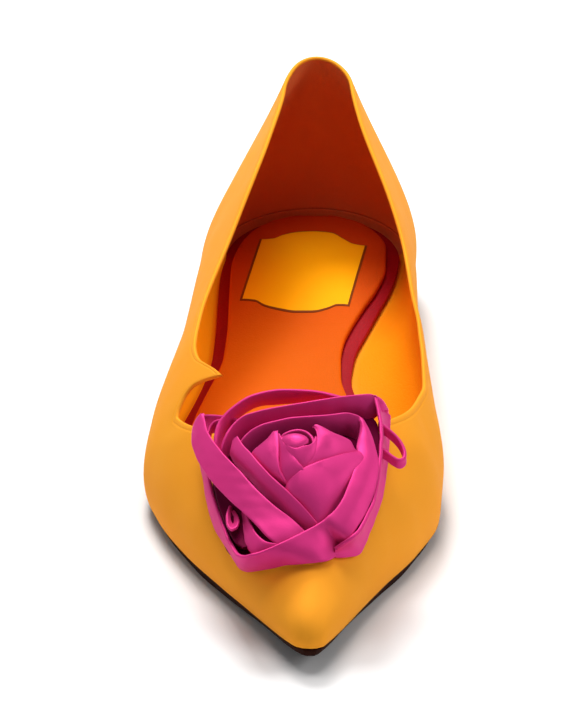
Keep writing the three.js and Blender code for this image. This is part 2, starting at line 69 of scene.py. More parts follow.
OUTLINE = table("v lateral medial", [
    [0, 0, 0],
    [1, 3.1, 3.1],
    [4.5, 5.6, 4.9],
    [12, 9.5, 8.0],
    [25, 16.0, 13.0],
    [40, 23.8, 19.2],
    [60, 33.7, 28.3],
    [80, 41.3, 34.2],
    [95, 44.4, 34.6],
    [113, 42.4, 29.6],
    [128, 38.2, 21.5],
    [143, 34.2, 14.6],
    [153, 32.0, 12.9],
    [165, 30.2, 13.8],
    [180, 29.5, 17.5],
    [192, 29.3, 20.7],
    [204, 29.1, 23.8],
    [216, 28.6, 25.8],
    [225, 27.4, 26.6],
])
PROFILE = table("q floor rise start ridge", [
    [0, 7.6, 3.0, 2.0, 0],
    [3, 7.3, 6.8, 3.8, 0],
    [10, 6.6, 11.4, 5.8, 0.5],
    [25, 5.5, 18.8, 8.6, 1.0],
    [45, 4.6, 27.9, 12.1, 2.0],
    [65, 4.1, 36.5, 15.2, 3.0],
    [85, 4.1, 44.6, 18.2, 3.5],
    [110, 4.5, 53.6, 20.1, 2.9],
    [128, 5.4, 59.2, 21.5, 2.2],
    [145, 6.7, 63.6, 22.0, 1.4],
    [180, 9.4, 70.4, 22.0, 0],
    [200, 10.5, 73.2, 22.0, 0.4],
    [225, 10.9, 75.0, 22.0, 1.2],
    [270, 11.0, 75.0, 22.0, 1.2],
])
LATERAL = table("q bulge tuck lean", [
    [0, 1.0, 0, 1.0],
    [4.5, 1.6, 0, 2.0],
    [12, 2.4, 0, 3.4],
    [25, 2.8, 0, 5.3],
    [40, 3.5, 0.1, 7.0],
    [60, 4.2, 0.4, 9.6],
    [80, 5.1, 1.5, 12.2],
    [95, 6.1, 2.7, 14.1],
    [113, 9.3, 5.7, 15.5],
    [128, 15.3, 10.3, 15.2],
    [143, 19.8, 14.2, 15.6],
    [153, 22.5, 17.0, 16.3],
    [165, 25.4, 19.5, 19.2],
    [180, 24.0, 20.2, 21.2],
    [192, 21.7, 19.6, 23.6],
    [204, 19.2, 19.0, 25.6],
    [216, 18.6, 18.7, 27.2],
    [225, 15.0, 19.4, 23.4],
    [247, 10.0, 15.2, 18.6],
    [270, 8.7, 6.4, 11.2],
])
MEDIAL = table("q bulge tuck lean", [
    [0, 1.0, 0, 1.0],
    [4.5, 1.6, 0, 2.0],
    [12, 2.3, 0, 3.5],
    [25, 2.5, 0.1, 5.6],
    [40, 2.8, 0.2, 7.4],
    [60, 3.2, 0.3, 9.4],
    [80, 3.4, 0.3, 11.0],
    [95, 5.3, 1.0, 10.5],
    [113, 14.0, 4.0, 6.6],
    [128, 30.3, 11.4, -0.8],
    [143, 44.1, 18.4, -7.0],
    [153, 46.4, 20.1, -7.1],
    [165, 45.0, 19.1, -2.5],
    [180, 37.6, 15.9, 6.4],
    [192, 30.0, 13.6, 13.3],
    [204, 23.0, 12.7, 19.5],
    [216, 18.2, 13.5, 22.6],
    [225, 15.4, 14.6, 22.1],
    [247, 9.4, 12.4, 15.3],
    [270, 8.7, 6.4, 11.2],
])
TOPLINE_LATERAL = table("q across foot corner", [
    [270, 0.3608, 270, 0],
    [258, 0.3698, 258, 0],
    [246, 0.3863, 246, 0],
    [235, 0.3976, 235, 0],
    [225, 0.4079, 225, 0],
    [212, 0.4366, 212, 0],
    [200, 0.4592, 200, 0],
    [188, 0.4845, 188, 0],
    [176, 0.5153, 176, 0],
    [164, 0.546, 164, 0],
    [152, 0.565, 153, 0],
    [140, 0.563, 145, 0],
    [128, 0.533, 138, 0],
    [118, 0.506, 132.5, 0],
    [111.5, 0.486, 128.5, 0],
    [103.7, 0.444, 125.4, 0],
    [97.9, 0.395, 123.2, 0],
    [93.4, 0.355, 121.4, 0],
    [89.4, 0.327, 119.8, 1],
    [91.0, 0.372, 118, 0],
    [92.4, 0.413, 114.5, 0],
    [93.3, 0.455, 107, 0],
    [92.6, 0.49, 100, 0],
    [91.0, 0.517, 95, 0],
    [89.3, 0.54, 91, 0],
    [87.8, 0.551, 88, 1],
    [84.4, 0.53, 82, 0],
    [81.1, 0.503, 76, 0],
    [77.5, 0.462, 67, 0],
    [72.5, 0.385, 52, 0],
    [68.2, 0.29, 34, 0],
    [65.2, 0.2, 18, 0],
    [63.6, 0.13, 8.5, 0],
    [62.9, 0.08, 3.6, 0],
    [62.6, 0.045, 1.3, 0],
    [62.5, 0.02, 0.3, 0],
    [62.5, 0, 0, 1],
])
TOPLINE_MEDIAL = table("q across foot corner", [
    [270, 0.3608, 270, 0],
    [258, 0.3698, 258, 0],
    [246, 0.3875, 246, 0],
    [235, 0.4004, 235, 0],
    [225, 0.4141, 225, 0],
    [212, 0.4516, 212, 0],
    [200, 0.4876, 200, 0],
    [188, 0.5218, 188, 0],
    [176, 0.5552, 176, 0],
    [164, 0.583, 164, 0],
    [152, 0.603, 152, 0],
    [140, 0.613, 140, 0],
    [128, 0.613, 128, 0],
    [118, 0.603, 117, 0],
    [109, 0.585, 107, 0],
    [100.7, 0.555, 98, 0],
    [90.1, 0.501, 85, 0],
    [81.7, 0.436, 71, 0],
    [75.1, 0.358, 56, 0],
    [70.2, 0.275, 39, 0],
    [66.6, 0.2, 22, 0],
    [64.6, 0.14, 11, 0],
    [63.3, 0.09, 4.5, 0],
    [62.7, 0.05, 1.6, 0],
    [62.5, 0.02, 0.3, 0],
    [62.5, 0, 0, 1],
])
SOLE_UNDER = table("v z", [
    [0, 4.9],
    [3, 4.6],
    [12, 3.6],
    [25, 2.2],
    [40, 0.8],
    [FLAT_FROM, 0],
    [FLAT_TO, 0],
    [115, 0.8],
    [145, 3.2],
    [180, 6.0],
    [203, 7.2],
    [256, 7.7],
])
SOCK = table("v lateral medial", [
    [46, -17.5, 14.5],
    [60, -25.0, 20.5],
    [80, -32.5, 25.5],
    [100, -35.5, 25.5],
    [115, -34.6, 21.5],
    [130, -32.3, 14.5],
    [143, -29.3, 9.3],
    [152, -27.0, 7.9],
    [162, -25.0, 7.8],
    [171, -24.4, 8.6],
    [180, -24.0, 10.7],
    [191, -23.9, 14.1],
    [202, -23.8, 17.7],
    [216, -23.6, 20.4],
    [230, -21.6, 20.6],
    [240, -18.0, 17.6],
    [247, -12.6, 12.4],
    [250.5, -6.0, 6.0],
])


# ---- numbers between the rows ------------------------------------------------------------------------------------
def pchip(xs, ys):
    xs, ys = np.asarray(xs, float), np.asarray(ys, float)
    h = np.diff(xs)
    d = np.diff(ys) / h
    m = np.zeros_like(ys)

    def end(h0, h1, d0, d1):
        e = ((2 * h0 + h1) * d0 - h0 * d1) / (h0 + h1)
        if np.sign(e) != np.sign(d0):
            return 0.0
        return 3 * d0 if np.sign(d0) != np.sign(d1) and abs(e) > 3 * abs(d0) else e

    m[0], m[-1] = end(h[0], h[1], d[0], d[1]), end(h[-1], h[-2], d[-1], d[-2])
    for i in range(1, len(xs) - 1):
        if d[i - 1] * d[i] > 0:
            a, b = 2 * h[i] + h[i - 1], h[i] + 2 * h[i - 1]
            m[i] = (a + b) / (a / d[i - 1] + b / d[i])

    def f(x):
        c = np.clip(np.asarray(x, float), xs[0], xs[-1])
        i = np.clip(np.searchsorted(xs, c, side="right") - 1, 0, len(xs) - 2)
        t = (c - xs[i]) / h[i]
        return (
            ys[i] * (1 + 2 * t) * (1 - t) ** 2
            + m[i] * h[i] * t * (1 - t) ** 2
            + ys[i + 1] * t * t * (3 - 2 * t)
            + m[i + 1] * h[i] * t * t * (t - 1)
        )

    return f


def root(v):
    return np.sqrt(np.maximum(v, 0))


half_width = {
    -1: pchip(root(OUTLINE["v"]), OUTLINE["lateral"]),
    1: pchip(root(OUTLINE["v"]), OUTLINE["medial"]),
}
floor_at = pchip(np.append(PROFILE["q"][:-1], FEATHER_LENGTH), PROFILE["floor"])
rise_at = pchip(PROFILE["q"], PROFILE["rise"])
start_at = pchip(PROFILE["q"], PROFILE["start"])
ridge_at = pchip(PROFILE["q"], PROFILE["ridge"])


def past(xs, ys):
    """Both sides meet level at the middle of the back, so the last row but one is repeated beyond it."""
    return pchip(np.append(xs, 2 * xs[-1] - xs[-2]), np.append(ys, ys[-2]))


wall = {
    side: {k: past(rows["q"], rows[k]) for k in ("bulge", "tuck", "lean")}
    for side, rows in ((-1, LATERAL), (1, MEDIAL))
}
sole_under = pchip(SOLE_UNDER["v"], SOLE_UNDER["z"])


# ---- the last ----------------------------------------------------------------------------------------------------
def feather(q, side):
    q = np.asarray(q, float)
    v = np.minimum(q, HEEL_START)
    turn = np.clip((q - HEEL_START) / HEEL_ARC, 0, 1) * np.pi / 2
    w = half_width[side](root(v))
    return side * w * np.cos(turn), v + HEEL_DEPTH * np.sin(turn), ridge_at(q), v


def last(q, side, across):
    q, u = np.broadcast_arrays(np.asarray(q, float), np.asarray(across, float))
    fx, fv, mx, mv = feather(q, side)
    dx, dv = mx - fx, mv - fv
    far = np.maximum(np.hypot(dx, dv), 1e-6)
    t = 1 - u
    full = np.minimum(1, far / 8)
    bulge, tuck, lean = (wall[side][k](q) * full for k in ("bulge", "tuck", "lean"))
    rise = rise_at(q)
    start = np.minimum(start_at(q), rise * 0.8)
    a = -3 * u * u * t * bulge + 6 * u * u * t * t * tuck + 3 * u * t * t * lean + t**3 * far
    h = 3 * u * u * t * start + 3 * u * t * t * rise + t**3 * rise
    return np.stack([fx + dx / far * a, fv + dv / far * a - FEATHER_LENGTH / 2, floor_at(fv) + h], -1)


def vamp_top(x, y):
    """Height of the last's top at plan points ahead of the heel."""
    x, y = np.broadcast_arrays(np.asarray(x, float), np.asarray(y, float))
    q = y + FEATHER_LENGTH / 2
    out = np.zeros(x.shape)
    for side in (-1, 1):
        lo, hi = np.zeros(x.shape), np.ones(x.shape)
        for _ in range(26):
            mid = (lo + hi) / 2
            inside = (last(q, side, mid)[..., 0] - x) * side < 0
            lo, hi = np.where(inside, mid, lo), np.where(inside, hi, mid)
        out = np.where((x - ridge_at(q)) * side >= 0, last(q, side, hi)[..., 2], out)
    return out


def inset_feather(q, side, inset):
    """Plan point (x, v) of the feather line moved in."""
    q = np.asarray(q, float)
    e = 0.05
    ax, av, _, _ = feather(np.maximum(q - e, 0), side)
    bx, bv, _, _ = feather(np.minimum(q + e, Q_END), side)
    fx, fv, _, _ = feather(q, side)
    tx, tv = bx - ax, bv - av
    l = np.maximum(np.hypot(tx, tv), 1e-9)
    d = np.minimum(inset, 0.35 * np.abs(fx) + 0.5 + np.where(q > HEEL_START, inset, 0))
    x = fx - side * np.abs(tv / l) * d
    return np.where(x * side < 0, 0, x), fv + tx / l * side * d


# ---- mesh helpers ------------------------------------------------------------------------------------------------
def to_frame(p):
    """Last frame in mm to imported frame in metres."""
    return (np.asarray(p, float) + SHIFT) / 1000


def grid_faces(m, n, wrap_i=False, wrap_j=False, at=0):
    i = np.arange(m if wrap_i else m - 1)
    j = np.arange(n if wrap_j else n - 1)
    i, j = np.meshgrid(i, j, indexing="ij")
    a = at + i * n + j
    b = at + i * n + (j + 1) % n
    c = at + ((i + 1) % m) * n + (j + 1) % n
    d = at + ((i + 1) % m) * n + j
    return np.stack([a, b, c, d], -1).reshape(-1, 4)


def make(name, points, faces, materials, which=None, smooth=True, layers=None, uv=None):
    """A mesh object from points in the last's frame (mm). layers are float point attributes; uv is per point."""
    points = to_frame(np.asarray(points).reshape(-1, 3))
    faces = [tuple(int(k) for k in f) for f in faces]
    mesh = bpy.data.meshes.new(name)
    mesh.from_pydata(points.tolist(), [], faces)
    for m in materials:
        mesh.materials.append(m)
    if which is not None:
        mesh.polygons.foreach_set("material_index", np.asarray(which, dtype=np.int32))
    mesh.polygons.foreach_set("use_smooth", np.full(len(mesh.polygons), smooth))
    for key, values in (layers or {}).items():
        layer = mesh.attributes.new(key, "FLOAT", "POINT")
        layer.data.foreach_set("value", np.asarray(values, np.float32).ravel())
    if uv is not None:
        uv = np.asarray(uv, np.float32).reshape(-1, 2)
        loops = np.zeros(len(mesh.loops), dtype=np.int32)
        mesh.loops.foreach_get("vertex_index", loops)
        mesh.uv_layers.new(name="UVMap").data.foreach_set("uv", uv[loops].ravel())
    mesh.validate()
    mesh.update()
    obj = bpy.data.objects.new(name, mesh)
    bpy.context.scene.collection.objects.link(obj)
    return obj


def outward(points, faces):
    """The faces, turned so that the closed body they make has its volume positive."""
    p = np.asarray(points).reshape(-1, 3)
    f = np.asarray(faces)
    tri = np.concatenate([f[:, [0, 1, 2]], f[:, [0, 2, 3]]])
    vol = np.einsum("ij,ij->i", p[tri[:, 0]], np.cross(p[tri[:, 1]], p[tri[:, 2]])).sum()
    return f if vol > 0 else f[:, ::-1]


def unit(v):
    return v / np.maximum(np.linalg.norm(v, axis=-1, keepdims=True), 1e-12)


def smoothstep(lo, hi, x):
    t = np.clip((np.asarray(x, float) - lo) / (hi - lo), 0, 1)
    return t * t * (3 - 2 * t)


# ---- materials ---------------------------------------------------------------------------------------------------
class Nodes:
    """A short way to write a node tree."""

    def __init__(self, name):
        self.mat = bpy.data.materials.new(name)
        self.mat.use_nodes = True
        self.tree = self.mat.node_tree
        self.tree.nodes.clear()
        self.out = self.add("ShaderNodeOutputMaterial")
        self.bsdf = self.add("ShaderNodeBsdfPrincipled")
        self.link(self.bsdf.outputs["BSDF"], self.out.inputs["Surface"])

    def add(self, kind, **inputs):
        node = self.tree.nodes.new(kind)
        for k, v in inputs.items():
            self.put(node, k, v)
        return node

    def put(self, node, key, value):
        if key in node.inputs:
            socket = node.inputs[key]
        elif key.replace("_", " ") in node.inputs:
            socket = node.inputs[key.replace("_", " ")]
        else:
            setattr(node, key, value)
            return
        if isinstance(value, bpy.types.NodeSocket):
            self.link(value, socket)
        else:
            socket.default_value = value

    def link(self, a, b):
        self.tree.links.new(a, b)

    def math(self, op, a, b=None, clamp=False):
        node = self.tree.nodes.new("ShaderNodeMath")
        node.operation = op
        node.use_clamp = clamp
        for i, v in enumerate((a, b)):
            if v is None:
                continue
            if isinstance(v, bpy.types.NodeSocket):
                self.link(v, node.inputs[i])
            else:
                node.inputs[i].default_value = v
        return node.outputs[0]

    def mix(self, fac, a, b, blend="MIX"):
        node = self.tree.nodes.new("ShaderNodeMix")
        node.data_type = "RGBA"
        node.blend_type = blend
        for key, v in (("Factor", fac), ("A", a), ("B", b)):
            sockets = [s for s in node.inputs if s.name == key and (s.type == "RGBA" or key == "Factor")]
            socket = sockets[0]
            if isinstance(v, bpy.types.NodeSocket):
                self.link(v, socket)
            else:
                socket.default_value = v if key == "Factor" else (*v, 1) if len(v) == 3 else v
        return [s for s in node.outputs if s.type == "RGBA"][0]

    def ramp(self, fac, stops):
        node = self.tree.nodes.new("ShaderNodeValToRGB")
        self.link(fac, node.inputs[0])
        el = node.color_ramp.elements
        while len(el) > 1:
            el.remove(el[-1])
        el[0].position, el[0].color = stops[0][0], (*stops[0][1], 1)
        for pos, col in stops[1:]:
            e = el.new(pos)
            e.color = (*col, 1)
        return node.outputs[0]

    def noise(self, vector, scale, detail=3, rough=0.5):
        node = self.add("ShaderNodeTexNoise", Vector=vector, Scale=scale, Detail=detail, Roughness=rough)
        return node.outputs["Fac"]

    def attr(self, name):
        node = self.tree.nodes.new("ShaderNodeAttribute")
        node.attribute_name = name
        return node.outputs["Fac"]

    def coords(self):
        return self.add("ShaderNodeTexCoord").outputs["Object"]

    def scaled(self, vector, scale):
        node = self.tree.nodes.new("ShaderNodeMapping")
        self.link(vector, node.inputs["Vector"])
        node.inputs["Scale"].default_value = scale
        return node.outputs[0]

    def bump(self, height, distance, strength=1.0, normal=None):
        node = self.add("ShaderNodeBump", Height=height, Distance=distance, Strength=strength)
        if normal is not None:
            self.link(normal, node.inputs["Normal"])
        return node.outputs[0]


def srgb(r, g, b):
    def f(c):
        c = c / 255
        return c / 12.92 if c <= 0.04045 else ((c + 0.055) / 1.055) ** 2.4

    return (f(r), f(g), f(b))


def satin(name, base, light, dark, sheen_tint, rough=0.42, metal=0.2, weave=1.0):
    """Satin: long floats of thread that give a soft directional sheen, a fine twill line and slight colour drift."""
    n = Nodes(name)
    co = n.coords()
    drift = n.noise(co, 38, 3, 0.55)
    col = n.mix(drift, dark, light)
    col = n.mix(0.62, col, base)
    # thread lines, about 0.25 mm, broken up along their length
    uv = n.add("ShaderNodeUVMap").outputs["UV"]
    floats = n.noise(n.scaled(uv, (5200, 900, 1)), 1.0, 2, 0.6)
    cross = n.noise(n.scaled(uv, (1100, 6000, 1)), 1.0, 2, 0.6)
    thread = n.math("ADD", n.math("MULTIPLY", floats, 0.65), n.math("MULTIPLY", cross, 0.35))
    col = n.mix(n.math("MULTIPLY", n.math("SUBTRACT", thread, 0.5), 0.5, clamp=True), col, light)
    n.put(n.bsdf, "Base Color", col)
    ripple = n.noise(co, 120, 2, 0.5)
    rough_v = n.math("ADD", n.math("MULTIPLY", ripple, 0.12), rough - 0.06)
    n.put(n.bsdf, "Roughness", rough_v)
    n.bsdf.inputs["Metallic"].default_value = metal  # satin's shine has the colour of its thread
    n.bsdf.inputs["Specular IOR Level"].default_value = 0.06
    n.bsdf.inputs["Specular Tint"].default_value = (*sheen_tint, 1)
    n.bsdf.inputs["Anisotropic"].default_value = 0.45
    height = n.math("ADD", n.math("MULTIPLY", thread, 0.000035 * weave), n.math("MULTIPLY", ripple, 0.00006))
    n.put(n.bsdf, "Normal", n.bump(height, 1.0, 0.8))
    return n.mat


def leather(name, base, light, dark, rough=0.55, grain=900, depth=0.00004, spec=0.1):
    n = Nodes(name)
    co = n.coords()
    cells = n.add("ShaderNodeTexVoronoi", Vector=co, Scale=grain)
    cells.feature = "DISTANCE_TO_EDGE"
    pores = n.math("MINIMUM", cells.outputs["Distance"], 0.12)
    drift = n.noise(co, 45, 4, 0.6)
    col = n.mix(drift, dark, light)
    col = n.mix(0.55, col, base)
    n.put(n.bsdf, "Base Color", col)
    n.put(n.bsdf, "Roughness", n.math("ADD", n.math("MULTIPLY", n.noise(co, 260, 2), 0.16), rough - 0.04))
    n.bsdf.inputs["Specular IOR Level"].default_value = spec
    height = n.math("ADD", n.math("MULTIPLY", pores, depth * 8), n.math("MULTIPLY", n.noise(co, 700, 3), depth))
    n.put(n.bsdf, "Normal", n.bump(height, 1.0, 0.7))
    return n


SATIN = satin("satin_orange", srgb(247, 162, 44), srgb(252, 176, 58), srgb(240, 142, 28), (1.0, 0.55, 0.12), 0.6, 0.14)
ROSE = satin("satin_rose", srgb(218, 54, 130), srgb(238, 78, 152), srgb(194, 28, 104), (1.0, 0.6, 0.8), 0.46, 0.3)
# painted shade: a dark copy of the rose satin, for the core and the floor strips where the rose lies in shadow
ROSE_PAINTED_SHADE = satin("satin_rose_painted_shade", srgb(92, 2, 42), srgb(104, 4, 50), srgb(78, 0, 34), (1.0, 0.3, 0.6), 0.6)


def lining_material():
    """Quarter lining in golden leather, with the rust heel grip laid over it behind its seam."""
    n = leather("lining", srgb(252, 152, 10), srgb(254, 162, 18), srgb(244, 136, 4), 0.5)
    co = n.coords()
    grip = n.attr("grip")  # mm behind the seam of the heel grip
    depth = n.attr("depth")  # mm below the topline
    t = n.math("MULTIPLY", n.math("ADD", grip, 0.15), 3.3, clamp=True)
    rust = n.mix(n.noise(co, 30, 3), srgb(218, 112, 62), srgb(232, 128, 76))
    gold = n.bsdf.inputs["Base Color"].links[0].from_socket
    col = n.mix(t, gold, rust)
    n.put(n.bsdf, "Base Color", col)
    old = n.bsdf.inputs["Normal"].links[0].from_node
    # the grip's lower edge shows as a fine line above the insole
    line = n.math("ABSOLUTE", n.math("SUBTRACT", n.attr("above"), 1.9))
    line = n.math("MULTIPLY", n.math("SUBTRACT", 1.0, n.math("MULTIPLY", line, 2.6), clamp=True), t)
    n.put(n.bsdf, "Base Color", n.mix(n.math("MULTIPLY", line, 0.3), col, srgb(88, 20, 6)))
    # painted light: a faint glow (emission) on the gold lining, on faces turned towards the medial side, stands in for
    # light that comes through the thin outer side from behind
    across = n.add("ShaderNodeSeparateXYZ", Vector=n.add("ShaderNodeNewGeometry").outputs["Normal"]).outputs["X"]
    painted_glow = n.math("MULTIPLY", n.math("SUBTRACT", 1.0, t), n.math("MULTIPLY", across, 0.3), clamp=True)
    n.put(n.bsdf, "Emission Color", gold)
    n.put(n.bsdf, "Emission Strength", painted_glow)
    step = n.math("SUBTRACT", n.math("MULTIPLY", t, 0.0004), n.math("MULTIPLY", line, 0.0002))
    n.put(n.bsdf, "Normal", n.bump(step, 1.0, 1.0, old.outputs[0]))
    return n.mat


LINING = lining_material()
CRIMSON = leather("insole_crimson", srgb(150, 5, 22), srgb(164, 10, 30), srgb(132, 2, 14), 0.5).mat
SOLE = leather("sole_brown", srgb(44, 18, 10), srgb(58, 26, 14), srgb(30, 10, 6), 0.6, 700, 0.00006, 0.05).mat
HEEL = leather("heel_brown", srgb(48, 24, 18), srgb(62, 32, 24), srgb(30, 14, 10), 0.5, 700, 0.00006).mat
GOLD_PATCH = leather("label_gold", srgb(255, 182, 6), srgb(255, 192, 16), srgb(248, 168, 2), 0.5, 1500, 0.00002, 0.04).mat
DARK_EDGE = leather("label_edge", srgb(120, 58, 6), srgb(140, 70, 10), srgb(96, 44, 4), 0.6, 1500, 0.00002).mat


def sock_material():
    n = leather("sock_orange", srgb(208, 96, 8), srgb(218, 106, 14), srgb(198, 82, 4), 0.55, spec=0.04)
    co = n.coords()
    back = n.attr("heel_painted_shade")  # 0 at the ball, 1 at the heel
    col = n.bsdf.inputs["Base Color"].links[0].from_socket
    # painted shade: the sock's colour darkens towards the heel, where the heel cup shades it
    n.put(n.bsdf, "Base Color", n.mix(back, col, srgb(190, 58, 12)))
    return n.mat


SOCK_MAT = sock_material()

# ---- upper -------------------------------------------------------------------------------------------------------
STEP = 0.9


def topline_path(rows, side, step):
    width = lambda q: half_width[side](root(np.minimum(q, HEEL_START)))
    x = rows["across"] * width(rows["q"])
    pts = np.stack([x, rows["q"], rows["foot"]], 1)
    out, from_i, marks = [], 0, []
    for i in range(1, len(pts)):
        if not rows["corner"][i]:
            continue
        part = pts[from_i : i + 1]
        gaps = np.hypot(*(np.diff(part[:, :2], axis=0).T)) + 0.5 * np.abs(np.diff(part[:, 2]))
        t = np.concatenate([[0], np.cumsum(gaps)])
        m = np.empty_like(part)
        m[1:-1] = (part[2:] - part[:-2]) / (t[2:] - t[:-2])[:, None]
        m[0] = (part[1] - part[0]) / (t[1] - t[0])
        m[-1] = (part[-1] - part[-2]) / (t[-1] - t[-2])
        if i == len(pts) - 1:
            m[-1, 1] = 0
        for k in range(len(part) - 1):
            h = t[k + 1] - t[k]
            long = max(np.hypot(*(part[k + 1, :2] - part[k, :2])), abs(part[k + 1, 2] - part[k, 2]))
            steps = max(1, round(long / step))
            w = (np.arange(steps) / steps)[:, None]
            out.append(
                part[k] * (1 + 2 * w) * (1 - w) ** 2
                + m[k] * h * w * (1 - w) ** 2
                + part[k + 1] * w * w * (3 - 2 * w)
                + m[k + 1] * h * w * w * (w - 1)
            )
        from_i = i
    out.append(pts[-1:])
    return np.concatenate(out)


EDGE = 0.6  # radius of the rounded topline
NEAR = [0, 0.3, 0.6, 0.85, 1.05, 1.25, 1.5, 1.8, 2.3, 3.0, 4.0, 5.2]  # mm below the rounded edge
ROWS = 60


def section_line(p, side):
    """Points down one section line and, for each, its q; the first lies EDGE below the topline."""
    x0, q0, foot = p
    t = np.linspace(0, 1, 420)
    if foot < 1e-6:
        ridge = np.minimum(t / 0.9, 1)
        q = q0 * (1 - ridge)
        pts = last(q, side, np.maximum((t - 0.9) / 0.1, 0))
    else:
        s = 1 - (1 - t) ** 1.6
        q = q0 + (foot - q0) * s
        fw = half_width[side](root(min(foot, HEEL_START)))
        x = x0 + (fw - x0) * s
        w = np.maximum(half_width[side](root(np.minimum(q, HEEL_START))), 1e-4)
        pts = last(q, side, np.minimum(x / w, 1))
    along = np.concatenate([[0], np.cumsum(np.linalg.norm(np.diff(pts, axis=0), axis=1))])
    total = along[-1]
    near = np.array(NEAR) + EDGE
    rest = np.linspace(near[-1], total, ROWS - len(NEAR) + 1)[1:]
    want = np.concatenate([near, rest])
    return np.stack([np.interp(want, along, pts[:, k]) for k in range(3)], 1), np.interp(want, along, q), want


def settle(grid, weight):
    """Evens the wall along the topline where weight is 1, over about 10 mm, without pulling its curves in."""
    reach = int(round(5.0 / STEP))
    k = np.arange(-3 * reach, 3 * reach + 1)
    g = np.exp(-((k / reach) ** 2) / 2)
    g /= g.sum()

    def blur(a):
        return sum(w * np.roll(a, i, 0) for i, w in zip(k, g))

    once = blur(grid)
    even = 2 * once - blur(once)
    return grid + (even - grid) * weight[:, None, None]


# Soft creases in the satin: both ends (x, v), half width, depth (negative stands proud).
CREASES = [
    [-27, 58, -33, 74, 2.6, 0.34],
    [-29, 52, -36, 62, 2.2, -0.22],
    [-25, 40, -31, 47, 2.2, 0.26],
    [-18, 29, -24, 36, 2.4, 0.24],
    [-8, 21, -12, 27, 2.6, 0.22],
    [7, 22, 12, 28, 2.4, 0.26],
    [15, 32, 20, 40, 2.2, 0.24],
    [20, 46, 26, 55, 2.4, 0.3],
    [22, 58, 29, 70, 2.6, 0.32],
    [25, 66, 32, 80, 2.2, -0.2],
    [-36, 84, -39, 100, 2.4, 0.3],
    [-34, 78, -40, 88, 2.0, -0.2],
    [31, 84, 32, 100, 2.6, 0.26],
]


def crease(grid):
    """Dents along the lines above, square to the surface, fading towards their ends."""
    normal = unit(np.cross(np.gradient(grid, axis=0), np.gradient(grid, axis=1)))
    normal = normal * np.where(normal[..., 2:] < 0, -1, 1)
    x, v = grid[..., 0], grid[..., 1] + FEATHER_LENGTH / 2
    deep = 0
    for ax, av, bx, bv, wide, depth in CREASES:
        length = math.hypot(bx - ax, bv - av)
        t = ((x - ax) * (bx - ax) + (v - av) * (bv - av)) / length
        off = ((x - ax) * (bv - av) - (v - av) * (bx - ax)) / length
        off = off - 0.06 * t * (t - length) / 2
        fade = smoothstep(-3, length * 0.25, t) * (1 - smoothstep(length * 0.5, length + 4, t))
        deep = deep + depth * fade * np.exp(-((off / wide) ** 2))
    high = grid[..., 2] - floor_at(v)
    deep = deep * smoothstep(4, 10, high)
    return grid - normal * deep[..., None]


